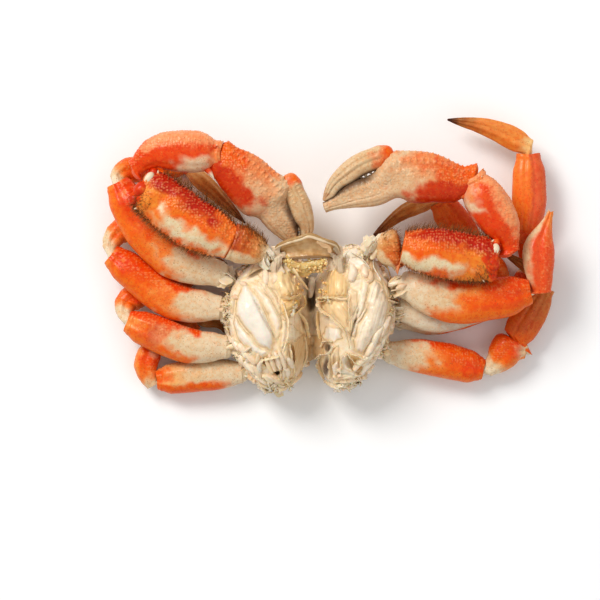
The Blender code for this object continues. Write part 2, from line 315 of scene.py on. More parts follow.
def round_about(radii, around):
    """Radii at a few angles, turned into radii at many angles of the same smooth outline."""
    waves = np.fft.rfft(radii, axis=1)
    waves *= np.exp(-(np.arange(waves.shape[1]) / 9.0) ** 4)
    return np.fft.irfft(waves, around, axis=1) * around / radii.shape[1]


# ---------------------------------------------------------------- meshes

def new_piece(name, points, faces, material, marks=None):
    """An object made from points and faces, with marks stored on its points for the material to read."""
    mesh = bpy.data.meshes.new(name)
    points = np.asarray(points, np.float32)
    faces = [np.asarray(group, np.int32) for group in faces if len(group)]
    mesh.vertices.add(len(points))
    mesh.vertices.foreach_set("co", points.ravel())
    corners = np.concatenate([group.ravel() for group in faces])
    counts = np.concatenate([np.full(len(group), group.shape[1]) for group in faces])
    mesh.loops.add(len(corners))
    mesh.loops.foreach_set("vertex_index", corners)
    mesh.polygons.add(len(counts))
    mesh.polygons.foreach_set("loop_start", np.concatenate([[0], np.cumsum(counts)[:-1]]).astype(np.int32))
    mesh.update(calc_edges=True)
    mesh.validate()
    for mark, values in (marks or {}).items():
        store = mesh.attributes.new(mark, "FLOAT_VECTOR", "POINT")
        store.data.foreach_set("vector", np.asarray(values, np.float32).ravel())
    mesh.shade_smooth()
    mesh.materials.append(material)
    piece = bpy.data.objects.new(name, mesh)
    bpy.context.scene.collection.objects.link(piece)
    return piece


def face_outwards(piece):
    """Turns every face of a closed piece outwards."""
    shape = bmesh.new()
    shape.from_mesh(piece.data)
    bmesh.ops.recalc_face_normals(shape, faces=shape.faces)
    shape.to_mesh(piece.data)
    shape.free()


def tube_faces(rings, around, start=0):
    """The faces of a closed tube of rings, with a point at each end after them: quads and triangles."""
    ring = np.arange(rings - 1)[:, None] * around
    side = np.arange(around)
    after = (side + 1) % around
    quads = np.stack([ring + side, ring + after, ring + around + after, ring + around + side], axis=-1)
    tip = rings * around
    last = (rings - 1) * around
    low = np.stack([np.full(around, tip), after, side], axis=-1)
    high = np.stack([np.full(around, tip + 1), last + side, last + after], axis=-1)
    return start + quads.reshape(-1, 4), start + np.concatenate([low, high])


def grid_marks(share, lanes, own):
    """The place marks of a tube: the share of its length, the lane around it and its own number."""
    along, around = np.meshgrid(share, lanes, indexing="ij")
    return np.stack([along, around, np.full(along.shape, own)], axis=-1)


def laid_line(line, outward, rings):
    """A line resampled to rings points, with the ways to its side and out of the surface it lies on."""
    place = even(line, rings)
    facing = unit(spline(outward, np.linspace(0, 1, rings)))
    ahead = unit(np.gradient(place, axis=0))
    side = unit(np.cross(ahead, facing))
    return place, side, np.cross(side, ahead)


class Heap:
    """Points and faces collected from many small shapes, to make one piece."""

    def __init__(self):
        self.points, self.quads, self.triangles, self.place, self.paint = [], [], [], [], []
        self.count = 0

    def add_tube(self, grid, place, paint, ends=None):
        """A closed tube through rings of points."""
        rings, around = grid.shape[:2]
        quads, triangles = tube_faces(rings, around, self.count)
        ends = np.array([grid[0].mean(axis=0), grid[-1].mean(axis=0)]) if ends is None else ends
        self.points.append(np.concatenate([grid.reshape(-1, 3), ends]))
        self.quads.append(quads)
        self.triangles.append(triangles)
        for store, values in ((self.place, place), (self.paint, paint)):
            values = np.broadcast_to(values, grid.shape)
            tips = np.array([values[0].mean(axis=0), values[-1].mean(axis=0)])
            store.append(np.concatenate([values.reshape(-1, 3), tips]))
        self.count += rings * around + 2

    def piece(self, name, material):
        """The finished object."""
        made = new_piece(name, np.concatenate(self.points),
                         [np.concatenate(self.quads), np.concatenate(self.triangles)], material,
                         {"place": np.concatenate(self.place), "paint": np.concatenate(self.paint)})
        face_outwards(made)
        return made


def shell_relief(path, style, seed, angle, grid, place, open_air):
    """How far a segment's surface stands out in millimetres, and where it has raised grains."""
    flat = grid.reshape(-1, 3)
    shape = grid.shape[:2]
    along = place[..., 0]
    raised = np.zeros(shape)

    def away(degrees):
        return np.abs((angle - math.radians(degrees) + math.pi) % (2 * math.pi) - math.pi)

    relief = style.get("wave", 0.25) * wobble(flat, 9 * MM, seed).reshape(shape)
    relief += style.get("grain", 0.06) * rough(flat, 2.2 * MM, seed + 7).reshape(shape)
    relief += style.get("lip", 0.0) * bump(along, 0.985, 0.02)
    for degrees, height, breadth, low, high in style.get("ridges", ()):
        ends = ease(along, low - 0.06, low + 0.06) * (1 - ease(along, high - 0.06, high + 0.06))
        relief += height * bump(away(degrees), 0, breadth) * ends
    for degrees, height, middle, length, breadth in style.get("swell", ()):
        relief += height * bump(along, middle, length) * bump(away(degrees), 0, breadth)
    if "flutes" in style:
        count, depth = style["flutes"]
        fade = ease(along, 0.03, 0.2) * (1 - 0.7 * ease(along, 0.8, 1.0))
        relief += depth * np.cos(count * angle) * fade
    for degrees, height, spacing, low, high in style.get("beads", ()):
        step = along * length_of(path.line) / MM / spacing
        row = (0.5 + 0.5 * np.cos(2 * math.pi * (step + 0.37 * degrees))) ** 2.5
        row = row * bump(away(degrees), 0, style.get("bead_width", 0.14)) * (along > low) * (along < high)
        relief += height * row
        raised += row
    if "granules" in style:
        height, spacing, low_side, high_side = style["granules"]
        grains = pimples(flat, spacing * MM, seed + 3).reshape(shape)
        grains = grains * ease(place[..., 1], low_side, high_side) * open_air
        relief += height * grains
        raised = np.maximum(raised, grains)
    return relief, raised


def skin(path, style, seed, carve=None):
    """The fine skin of one segment: its rings of points, and for each point its place and its paint.

    A place is (share of the length, how far to the front side, how far up), and a paint is (pale, dark,
    raised).
    """
    neck = np.array(style["neck"])
    cup = np.array(style["cup"])
    spread = np.linspace(0, 1, style["along"])
    share = np.concatenate([np.zeros(len(neck)), spread, np.ones(len(cup))])
    rounded = 1 - style.get("round", 0.0) * ease(spread, 0.84, 1.03) ** 2
    scale = np.concatenate([neck[:, 1], rounded, cup[:, 1] * rounded[-1]])
    push = np.concatenate([neck[:, 0], np.zeros(len(spread)), cup[:, 0]]) * MM
    neck_pale = np.full(len(neck), style.get("neck_pale", 1.0))
    inside = np.concatenate([neck_pale, np.zeros(len(spread)), cup[:, 2]])
    line, ahead, front, upward, radii = path.at(share)
    angle = np.linspace(0, 2 * math.pi, style["around"], endpoint=False)
    cos, sin = np.cos(angle), np.sin(angle)
    radii = np.maximum(round_about(radii, style["around"]), 0.1 * MM)
    slope = (np.roll(radii, -1, axis=1) - np.roll(radii, 1, axis=1)) / (2 * (angle[1] - angle[0]))
    spoke = front[:, None] * cos[None, :, None] + upward[:, None] * sin[None, :, None]
    beside = upward[:, None] * cos[None, :, None] - front[:, None] * sin[None, :, None]
    lobes = style.get("lobes", 0) * MM * (cos ** 2 - 0.4) * ease(share, 0.9, 1.0)[:, None]
    reach = push[:, None] + lobes
    grid = line[:, None] + spoke * (radii * scale[:, None])[..., None] + ahead[:, None] * reach[..., None]
    outward = unit(spoke * radii[..., None] - beside * slope[..., None])
    shape = grid.shape[:2]
    place = np.stack([np.broadcast_to(rows, shape) for rows in (share[:, None], cos, sin)], axis=-1)
    open_air = 1 - np.minimum(1, inside)[:, None]
    relief, raised = shell_relief(path, style, seed, angle, grid, place, open_air)
    pale = np.broadcast_to(np.maximum(inside, 0)[:, None], shape)
    paint = np.stack([pale, np.zeros(shape), raised], axis=-1)
    grid = grid + outward * (relief * open_air * MM)[..., None]
    if carve:
        carve(grid, outward, place, paint)
    return grid, place, paint


def dress(name, path, style, seed, material, carve=None, extras=None):
    """Makes one segment's skin and puts it in the place of its solid."""
    heap = Heap()
    heap.add_tube(*skin(path, style, seed, carve))
    if extras:
        extras(heap)
    piece = heap.piece(f"{name}_skin", material)
    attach(piece, "root")
    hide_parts(name)
    return piece


def spike(heap, foot, tip, radius, place, pale_from):
    """Adds a pointed spine, pale towards its tip."""
    rings, sides = 7, 8
    ahead = unit(tip - foot)
    side = unit(np.cross(ahead, UP + 0.01))
    other = np.cross(ahead, side)
    share = np.linspace(0, 1, rings)
    angle = np.linspace(0, 2 * math.pi, sides, endpoint=False)
    spokes = np.cos(angle)[:, None] * side + np.sin(angle)[:, None] * other
    centre = foot + (tip - foot) * share[:, None]
    width = radius * (1 - share) ** 0.8 + 0.04 * MM
    paint = np.zeros((rings, sides, 3))
    paint[..., 0] = ease(share, pale_from, pale_from + 0.35)[:, None]
    heap.add_tube(centre[:, None] + spokes[None] * width[:, None, None], place, paint)


def bristles(name, roots, ways, lengths, radius, material, seed):
    """Many thin curved hairs joined into one piece."""
    rng = np.random.default_rng(seed)
    heap = Heap()
    share = np.linspace(0, 1, 4)
    angle = np.array((0, 2.1, 4.2))
    for root, way, length in zip(roots, ways, lengths):
        way = unit(way)
        side = unit(np.cross(way, rng.normal(size=3)))
        other = np.cross(way, side)
        curl = side * rng.uniform(-0.35, 0.35) * length
        centre = root + way * (share * length)[:, None] + curl * (share ** 2)[:, None]
        spokes = np.cos(angle)[:, None] * side + np.sin(angle)[:, None] * other
        width = radius * (1 - 0.85 * share)
        grid = centre[:, None] + spokes[None] * width[:, None, None]
        heap.add_tube(grid, (rng.uniform(), 0, 0), share[:, None, None])
    piece = heap.piece(name, material)
    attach(piece, "root")
    return piece


# ---------------------------------------------------------------- materials

def tone(red, green, blue):
    """A colour written as on a paint chart, 0 to 255, in the linear values that shaders use."""
    chart = (value / 255 for value in (red, green, blue))
    return tuple(v / 12.92 if v <= 0.04045 else ((v + 0.055) / 1.055) ** 2.4 for v in chart)


class Look:
    """A material whose nodes are added one call at a time."""

    def __init__(self, name):
        self.material = bpy.data.materials.new(name)
        self.material.use_nodes = True
        self.tree = self.material.node_tree
        self.tree.nodes.clear()
        self.surface = self.tree.nodes.new("ShaderNodeBsdfPrincipled")
        output = self.tree.nodes.new("ShaderNodeOutputMaterial")
        self.tree.links.new(self.surface.outputs[0], output.inputs[0])
        self.where = self.tree.nodes.new("ShaderNodeTexCoord").outputs["Object"]

    def put(self, socket, value):
        """Links a value to a socket, or sets it there when it is a plain number or colour."""
        if isinstance(value, bpy.types.NodeSocket):
            self.tree.links.new(value, socket)
        elif isinstance(value, tuple) and len(value) == 3 and socket.type == "RGBA":
            socket.default_value = (*value, 1)
        else:
            socket.default_value = value

    def set(self, **values):
        """Sets inputs of the surface by name, with _ for a space."""
        for name, value in values.items():
            self.put(self.surface.inputs[name.replace("_", " ")], value)

    def math(self, operation, *values):
        """A number worked out from other numbers."""
        node = self.tree.nodes.new("ShaderNodeMath")
        node.operation = operation
        for socket, value in zip(node.inputs, values):
            self.put(socket, value)
        return node.outputs[0]

    def times(self, first, second):
        """Two numbers multiplied."""
        return self.math("MULTIPLY", first, second)

    def scaled(self, value, low, high, to_low=0.0, to_high=1.0):
        """A number moved smoothly from one range to another and kept inside it."""
        node = self.tree.nodes.new("ShaderNodeMapRange")
        node.interpolation_type = "SMOOTHSTEP"
        for socket, given in zip(node.inputs, (value, low, high, to_low, to_high)):
            self.put(socket, given)
        return node.outputs[0]

    def mix(self, share, first, second, blend="MIX"):
        """Two colours mixed."""
        node = self.tree.nodes.new("ShaderNodeMix")
        node.data_type = "RGBA"
        node.blend_type = blend
        self.put(node.inputs[0], share)
        self.put(node.inputs[6], first)
        self.put(node.inputs[7], second)
        return node.outputs[2]

    def noise(self, size, detail=3.0, distortion=0.0, where=None):
        """Cloudy noise from about 0.25 to 0.75 whose clouds are about size metres wide."""
        node = self.tree.nodes.new("ShaderNodeTexNoise")
        node.inputs["Scale"].default_value = 1 / size
        node.inputs["Detail"].default_value = detail
        node.inputs["Distortion"].default_value = distortion
        self.tree.links.new(self.where if where is None else where, node.inputs["Vector"])
        return node.outputs[0]

    def cells(self, size):
        """The distance inside round cells about size metres wide."""
        node = self.tree.nodes.new("ShaderNodeTexVoronoi")
        node.inputs["Scale"].default_value = 1 / size
        self.tree.links.new(self.where, node.inputs["Vector"])
        return node.outputs["Distance"]

    def ramp(self, value, stops):
        """Colours along a number: (place, colour) pairs."""
        node = self.tree.nodes.new("ShaderNodeValToRGB")
        band = node.color_ramp.elements
        while len(band) < len(stops):
            band.new(0.5)
        for stop, (place, colour) in zip(band, sorted(stops)):
            stop.position = place
            stop.color = (*colour, 1)
        self.put(node.inputs[0], value)
        return node.outputs[0]

    def mark(self, name):
        """The three numbers stored on the points under a name."""
        node = self.tree.nodes.new("ShaderNodeAttribute")
        node.attribute_name = name
        split = self.tree.nodes.new("ShaderNodeSeparateXYZ")
        self.tree.links.new(node.outputs["Vector"], split.inputs[0])
        return split.outputs

    def relief(self, height, strength, distance):
        """Relief finer than the mesh can carry."""
        node = self.tree.nodes.new("ShaderNodeBump")
        node.inputs["Strength"].default_value = strength
        node.inputs["Distance"].default_value = distance
        self.put(node.inputs["Height"], height)
        self.set(Normal=node.outputs[0])

    def wet(self, roughness, coat, flesh):
        """A moist surface that lets some light through."""
        self.set(Roughness=roughness, Coat_Weight=coat, Coat_Roughness=0.16, Subsurface_Weight=flesh,
                 Subsurface_Scale=1.2 * MM, IOR=1.42)
        self.surface.inputs["Subsurface Radius"].default_value = (1.0, 0.45, 0.25)


CREAM = (222, 196, 158)
BONE = (230, 213, 184)
APRICOT = (236, 142, 66)
ORANGE = (234, 108, 18)
VERMILION = (228, 80, 5)
CORAL = (228, 100, 38)
BROWN = (92, 46, 24)

# Along the segment: (share of the length, colour). Flank: a colour of its front or back side, where that
# begins and is full across and, if it stops short, how far along. Band: a colour between two places across
# and two along. Specks: how many brown specks.
SHELL_COLOURS = {
    "leg_merus": dict(
        along=((0.0, BONE), (0.36, CREAM), (0.5, APRICOT), (0.64, ORANGE), (0.88, VERMILION),
            (1.0, ORANGE)), flank=(VERMILION, 0.6, 0.95), band=((236, 120, 30), -1.1, -0.75, 0.3, 1.1),
        specks=0.6),
    "leg_carpus": dict(
        along=((0.0, BONE), (0.26, CREAM), (0.38, APRICOT), (0.5, ORANGE), (0.8, VERMILION), (1.0, CREAM)),
        flank=(APRICOT, -0.5, -0.9), specks=0.5),
    "leg_propodus": dict(
        along=((0.0, VERMILION), (0.45, ORANGE), (1.0, (234, 128, 52))), flank=(CORAL, 0.3, 0.8),
        specks=0.4),
    "leg_dactyl": dict(
        along=((0.0, (232, 196, 142)), (0.3, (214, 150, 82)), (0.75, (160, 104, 52)), (1.0, BROWN)),
        specks=0.5),
    "claw_ischium": dict(
        along=((0.0, CREAM), (0.3, (214, 158, 96)), (0.6, (206, 112, 42)), (1.0, (186, 84, 34))),
        flank=(CREAM, -0.3, -0.8), specks=0.9),
    "claw_merus": dict(
        along=((0.0, (234, 128, 48)), (0.45, ORANGE), (0.78, (236, 136, 46)), (0.93, (238, 152, 60)),
            (1.0, VERMILION)), flank=((188, 42, 14), 0.2, 0.75),
        band=((226, 208, 172), -0.85, -0.42, 0.05, 0.66), specks=0.55),
    "claw_carpus": dict(
        along=((0.0, VERMILION), (0.4, (228, 82, 24)), (0.85, (228, 88, 32)), (1.0, (238, 150, 88))),
        flank=((240, 158, 108), 0.1, 0.6), band=((234, 202, 168), -0.95, -0.45, 0.62, 0.9), specks=0.4),
    "claw_palm": dict(
        along=((0.0, ORANGE), (0.18, (224, 104, 44)), (0.33, (226, 160, 112)), (0.48, (222, 188, 150)),
            (1.0, (214, 186, 150))), flank=((230, 140, 84), 0.45, 0.8, 0.42),
        band=((204, 66, 14), -1.1, -0.3, -0.1, 0.4), specks=0.45),
    "claw_finger": dict(
        along=((0.0, ORANGE), (0.1, (226, 140, 90)), (0.2, (216, 184, 142)), (0.9, (216, 190, 154)),
            (1.0, (186, 140, 100))), specks=0.5),
}
KNEED = dict(
    along=((0.0, BONE), (0.34, CREAM), (0.48, APRICOT), (0.62, ORANGE), (0.82, VERMILION),
        (0.95, VERMILION), (1.0, APRICOT)), flank=(VERMILION, 0.6, 0.95),
    band=((236, 120, 30), -1.1, -0.75, 0.3, 1.1), specks=0.6)
OWN_COLOURS = {
    "left_leg_1_merus": KNEED,
    "left_leg_2_merus": KNEED,
    "left_leg_3_merus": dict(
        KNEED,
        along=((0.0, BONE), (0.45, CREAM), (0.6, (226, 146, 96)), (0.75, (214, 112, 66)), (0.93, ORANGE),
            (1.0, APRICOT))),
    "left_leg_4_merus": dict(
        along=((0.0, BONE), (0.5, CREAM), (0.86, (232, 176, 112)), (1.0, ORANGE)),
        flank=(ORANGE, -0.35, -0.7), specks=0.6),
    "right_leg_2_merus": dict(
        along=((0.0, BONE), (0.6, (205, 194, 176)), (0.85, CREAM), (1.0, APRICOT)), specks=0.3),
    "right_leg_1_carpus": dict(
        along=((0.0, CORAL), (0.7, (230, 92, 44)), (1.0, APRICOT)), flank=(CREAM, -0.5, -0.95), specks=0.3),
    "right_leg_1_propodus": dict(
        along=((0.0, (226, 110, 50)), (0.5, (236, 122, 40)), (1.0, (240, 140, 60))),
        flank=((226, 108, 62), -0.1, 0.3), specks=0.25),
    "right_leg_1_dactyl": dict(
        along=((0.0, (240, 200, 140)), (0.2, (238, 150, 70)), (0.6, (222, 140, 70)), (0.85, (176, 116, 60)),
            (1.0, BROWN)), specks=0.4),
    "right_leg_4_propodus": dict(
        along=((0.0, ORANGE), (0.5, (210, 106, 44)), (1.0, (206, 130, 66))), specks=0.6),
}


def shell_look(name, kind, tint):
    """The material of one shell segment: colours along and beside it, mottling, specks, pits darkened with
    painted shade, and gloss.
    """
    colours = OWN_COLOURS.get(name, SHELL_COLOURS[kind])
    look = Look(name + "_shell")
    along, front, high = look.mark("place")
    pale, dark, raised = look.mark("paint")
    cloud = look.noise(4.5 * MM, 4.0)
    fine = look.noise(0.8 * MM, 3.0)
    broad = look.times(look.noise(8 * MM, 1.0), 0.7)
    drift = look.math("SUBTRACT", look.math("MULTIPLY_ADD", cloud, 0.3, broad), 0.5)
    shifted = look.math("MULTIPLY_ADD", drift, 0.7, along)
    side = look.math("MULTIPLY_ADD", drift, 1.4, front)
    colour = look.ramp(shifted, [(place, tone(*given)) for place, given in colours["along"]])
    if "flank" in colours:
        given, low, top, *end = colours["flank"]
        share = look.times(look.scaled(side, low, top), look.scaled(shifted, 0.1, 0.35))
        if end:
            share = look.times(share, look.scaled(shifted, end[0] + 0.1, end[0] - 0.1))
        colour = look.mix(share, colour, tone(*given))
    if "band" in colours:
        given, low, top, start, end = colours["band"]
        across = look.times(look.scaled(side, low - 0.25, low + 0.15),
                           look.scaled(side, top + 0.3, top - 0.15))
        lengthwise = look.times(look.scaled(shifted, start - 0.12, start + 0.08),
                               look.scaled(shifted, end + 0.14, end - 0.08))
        colour = look.mix(look.times(across, lengthwise), colour, tone(*given))
    under = look.scaled(high, -0.3, -0.9)
    colour = look.mix(look.times(under, 0.6), colour, tone(*CREAM))
    blotch = look.scaled(look.noise(2.2 * MM, 4.0, distortion=0.6), 0.38, 0.64)
    colour = look.mix(look.times(blotch, 0.4), colour, tint, "SOFT_LIGHT")
    glow = look.scaled(look.noise(1.6 * MM, 3.0), 0.55, 0.72)
    colour = look.mix(look.times(glow, 0.22), colour, tone(244, 156, 70))
    spots = look.scaled(look.noise(0.8 * MM, 2.0), 0.61, 0.72)
    patches = look.scaled(look.noise(5.0 * MM, 2.0), 0.42, 0.6)
    few = look.times(look.times(spots, patches), colours["specks"])
    colour = look.mix(few, colour, tone(146, 78, 34))
    # painted shade: the sunken pits of the relief are darkened
    pits = look.scaled(look.cells(1.3 * MM), 0.28, 0.08)
    colour = look.mix(look.times(pits, 0.3), colour, tone(120, 44, 16), "MULTIPLY")
    colour = look.mix(look.times(look.scaled(raised, 0.4, 1.0), 0.4), colour, tone(244, 176, 120))
    colour = look.mix(pale, colour, tone(*BONE))
    # dark paint: the real dark brown of the horny tips, and painted shade along the biting edges of the
    # fingers
    colour = look.mix(dark, colour, tone(58, 30, 18))
    look.set(Base_Color=colour)
    look.wet(look.scaled(fine, 0.3, 0.7, 0.26, 0.44), 0.12, 0.06)
    look.set(Specular_IOR_Level=0.3)
    look.relief(look.math("ADD", look.times(fine, 0.6), look.times(pits, -0.4)),
                0.6, 0.3 * MM)
    return look.material


def flesh_look(name, colours, gloss, flesh):
    """Meat or membrane: colours by cloudy patches and by the marks, with fibres along each piece."""
    look = Look(name)
    along, around, own = look.mark("place")
    pale, dark, warm = look.mark("paint")
    strand = look.tree.nodes.new("ShaderNodeCombineXYZ")
    look.put(strand.inputs[0], look.times(along, 0.9))
    look.put(strand.inputs[1], look.times(around, 30.0))
    look.put(strand.inputs[2], look.times(own, 40.0))
    streak = look.noise(1.0, 4.0, where=strand.outputs[0])
    cloud = look.noise(3.2 * MM, 4.0)
    base = look.ramp(look.math("MULTIPLY_ADD", look.math("SUBTRACT", own, 0.5), 0.35, cloud),
                     [(0.3 + 0.4 * k / (len(colours) - 1), tone(*c)) for k, c in enumerate(colours)])
    base = look.mix(look.scaled(streak, 0.42, 0.62, 0.0, 0.5), base, tone(*colours[-1]))
    base = look.mix(pale, base, tone(244, 234, 218))
    base = look.mix(warm, base, tone(248, 204, 130))
    # dark paint: painted shade in the core's pockets, creases and splits; elsewhere the brown of rims, facets
    # and strands
    base = look.mix(dark, base, tone(84, 54, 34))
    look.set(Base_Color=base)
    look.wet(gloss, 0.4, flesh)
    grit = look.noise(0.6 * MM, 4.0)
    look.relief(look.math("ADD", streak, look.times(grit, 0.6)), 0.6, 0.35 * MM)
    return look.material


# ---------------------------------------------------------------- the shapes of the shell segments

# A style has its points around and its rings along. Neck: (mm past the start, width) of the rings that
# close the start. Cup: (mm past the end, width, pale) of those that fold into the end. Then its relief, in mm
# and shares of the length. Ridges, or grooves where below 0, and beads: (degrees from the front side, height,
# breadth or spacing, from, to). Swell: (degrees, height, place, length, breadth). Granules: (height, spacing,
# where across they begin, where they are full). Lobes: how far the rim bows out at both sides.
LEG_STYLES = {
    "merus": dict(
        around=72, along=120, neck=((-2.4, 0.25), (-2.2, 0.7), (-1.2, 0.86), (-0.1, 0.93)),
        cup=((0.6, 0.98, 0), (1.0, 0.92, 0), (0.9, 0.83, 0.4), (-1.4, 0.74, 1), (-1.0, 0.4, 1)), lobes=0.5,
        lip=0.5, wave=0.4, round=0.28, granules=(0.16, 1.3, -1.4, 0.6),
        beads=((18, 0.4, 1.7, 0.12, 0.97), (-20, 0.25, 1.5, 0.2, 0.95)),
        ridges=((60, 0.35, 0.22, 0.6, 1.1), (118, 0.35, 0.22, 0.55, 1.1), (90, -0.3, 0.3, 0.65, 1.1))),
    "carpus": dict(
        around=64, along=72, neck=((-1.8, 0.3), (-1.2, 0.7), (-0.2, 0.88)),
        cup=((0.6, 1.03, 0), (0.7, 0.95, 0), (0.1, 0.82, 0.6), (-1.3, 0.72, 1), (-0.9, 0.35, 1)), lobes=0.9,
        lip=0.35, wave=0.3, round=0.1, granules=(0.2, 1.2, -1.2, 0.4),
        ridges=((60, 0.35, 0.3, 0.15, 1.1), (125, 0.35, 0.3, 0.15, 1.1), (92, -0.35, 0.2, 0.25, 1.0))),
    "propodus": dict(
        around=64, along=96, neck=((-1.6, 0.3), (-1.1, 0.72), (-0.1, 0.9)),
        cup=((0.5, 1.02, 0), (0.6, 0.93, 0), (0.1, 0.8, 0.6), (-1.1, 0.7, 1), (-0.8, 0.35, 1)), lobes=0.8,
        lip=0.3, wave=0.3, beads=((5, 0.2, 1.4, 0.05, 0.95),),
        ridges=((62, -0.45, 0.13, 0.02, 1.0), (118, -0.4, 0.13, 0.02, 1.0), (90, 0.3, 0.3, 0.0, 1.1))),
    "dactyl": dict(
        around=54, along=110, neck=((-1.2, 0.3), (-0.8, 0.75), (-0.1, 0.92)),
        cup=((0.1, 0.6, 0), (0.25, 0.3, 0)), wave=0.1, grain=0.05, flutes=(6, 0.36), neck_pale=0.4),
}
CLAW_STYLES = {
    "ischium": dict(
        around=72, along=80, neck=((-1.4, 0.3), (-1.0, 0.75), (-0.1, 0.93)),
        cup=((0.7, 1.03, 0), (0.8, 0.94, 0), (0.2, 0.82, 0.5), (-1.0, 0.7, 1), (-0.7, 0.35, 1)), lobes=1.0,
        lip=0.5, wave=0.6, grain=0.2, granules=(0.45, 1.5, -1.2, 0.2),
        ridges=((90, -0.7, 0.5, 0.35, 0.7), (40, 0.5, 0.3, 0.1, 1.0))),
    "merus": dict(
        around=120, along=190, neck=((-1.8, 0.3), (-1.3, 0.75), (-0.2, 0.92)),
        cup=((0.9, 1.04, 0), (1.0, 0.96, 0), (0.3, 0.84, 0.4), (-1.5, 0.74, 1), (-1.1, 0.35, 1)), lobes=1.6,
        lip=0.6, wave=0.7, grain=0.14, granules=(0.5, 1.35, -0.3, 0.4), round=0.08, neck_pale=0.3,
        beads=((12, 0.7, 1.9, 0.05, 0.95), (170, 0.5, 2.1, 0.1, 0.9)),
        ridges=((90, -0.8, 0.9, 0.72, 0.8), (55, 0.4, 0.25, 0.15, 0.7))),
    "carpus": dict(
        around=120, along=150, neck=((-1.8, 0.3), (-1.2, 0.75), (-0.2, 0.92)),
        cup=((0.9, 1.04, 0), (1.0, 0.96, 0), (0.3, 0.84, 0.5), (-1.5, 0.74, 1), (-1.1, 0.35, 1)), lobes=1.3,
        lip=0.7, wave=0.6, grain=0.12, granules=(0.45, 1.25, -0.2, 0.4), round=0.1, neck_pale=0.1,
        ridges=((140, -0.5, 0.2, 0.15, 0.9), (45, 0.5, 0.25, 0.1, 0.95))),
    "palm": dict(
        around=140, along=260, neck=((-1.8, 0.3), (-1.2, 0.75), (-0.2, 0.92)),
        cup=((0.2, 0.6, 0), (0.35, 0.3, 0)), wave=0.4, grain=0.14, neck_pale=0.0, bead_width=0.09,
        granules=(0.28, 1.2, -1.3, 0.2),
        beads=((12, 0.8, 2.3, 0.04, 0.6), (36, 0.8, 2.7, 0.05, 0.56), (64, 0.6, 3.3, 0.08, 0.5)),
        swell=((5, 3.8, 0.53, 0.09, 0.9), (180, 1.8, 0.66, 0.16, 0.9), (0, 1.6, 0.74, 0.1, 0.8)),
        ridges=((24, -0.4, 0.1, 0.05, 0.55), (50, -0.4, 0.1, 0.05, 0.5), (150, -0.3, 0.1, 0.62, 1.0),
            (120, -0.3, 0.1, 0.62, 1.0))),
    "finger": dict(
        around=72, along=170, neck_pale=0.0,
        neck=((-3.2, 0.15), (-3.0, 0.4), (-2.5, 0.62), (-1.7, 0.8), (-0.8, 0.94)),
        swell=((0, 0.9, 0.06, 0.08, 3.0), (0, 0.7, 0.5, 0.3, 3.0)), cup=((0.2, 0.6, 0), (0.35, 0.3, 0)),
        wave=0.2, grain=0.08, beads=((60, 0.4, 1.9, 0.02, 0.4), (120, 0.35, 2.0, 0.02, 0.35)),
        ridges=((70, -0.45, 0.14, 0.1, 0.95), (110, -0.4, 0.14, 0.1, 0.95), (90, 0.3, 0.2, 0.1, 0.9))),
}


# ---------------------------------------------------------------- the add-on

class StageSettings(bpy.types.PropertyGroup):
    """The floor, the lights and the camera."""

    floor_colour: bpy.props.FloatVectorProperty(
        name="Floor", description="Colour of the floor", subtype="COLOR", default=tone(250, 250, 250))
    camera_height: bpy.props.FloatProperty(
        name="Camera height", description="Height of the camera above the floor",
        default=1.15, unit="LENGTH", subtype="DISTANCE")
    view_width: bpy.props.FloatProperty(
        name="View width", description="Width of the floor that the camera sees",
        default=0.3, unit="LENGTH", subtype="DISTANCE")
    view_centre: bpy.props.FloatVectorProperty(
        name="View centre", description="Point of the floor under the middle of the picture",
        size=2, default=(-0.01375, -0.0222), unit="LENGTH", subtype="XYZ")
    key_power: bpy.props.FloatProperty(
        name="Key light", description="Power of the main soft light", default=27.0, unit="POWER")
    fill_power: bpy.props.FloatProperty(
        name="Fill light", description="Power of the soft light from the other side", default=0.9,
        unit="POWER")
    sky_strength: bpy.props.FloatProperty(
        name="Sky", description="Strength of the even light from all round", default=0.5)


class ShellSettings(bpy.types.PropertyGroup):
    """Sizes and colours of the shell segments."""

    blush: bpy.props.FloatVectorProperty(
        name="Blush", description="Colour that mottles every shell segment", subtype="COLOR",
        default=tone(150, 60, 30))
    spine_length: bpy.props.FloatProperty(
        name="Spine length", description="Length of the spine on each wrist of the claws",
        default=0.0045, unit="LENGTH", subtype="DISTANCE")
    tooth_height: bpy.props.FloatProperty(
        name="Tooth height", description="Height of the knobs along the biting edges",
        default=0.0017, unit="LENGTH", subtype="DISTANCE")
    bite_fill: bpy.props.FloatProperty(
        name="Bite fill", description="How far the biting edges stand out of the fingers' solids",
        default=0.0017, unit="LENGTH", subtype="DISTANCE")
    bristle_length: bpy.props.FloatProperty(
        name="Bristle length", description="Longest bristle on the arms of the claws",
        default=0.0048, unit="LENGTH", subtype="DISTANCE")
    bristle_colour: bpy.props.FloatVectorProperty(
        name="Bristles", description="Colour of the bristles", subtype="COLOR", default=tone(84, 48, 18))


class BodySettings(bpy.types.PropertyGroup):
    """Sizes and colours of the body's meat, walls and membranes."""

    grain_size: bpy.props.FloatProperty(
        name="Core detail", description="Size of the smallest detail of the body's core",
        default=0.0005, unit="LENGTH", subtype="DISTANCE")
    core_depth: bpy.props.FloatProperty(
        name="Core depth", description="How far the core lies under the facets of meat that rise from it",
        default=0.0018, unit="LENGTH", subtype="DISTANCE")
    seed: bpy.props.IntProperty(
        name="Seed", description="Start of every random choice in the body", default=11)


# ---------------------------------------------------------------- small solid details

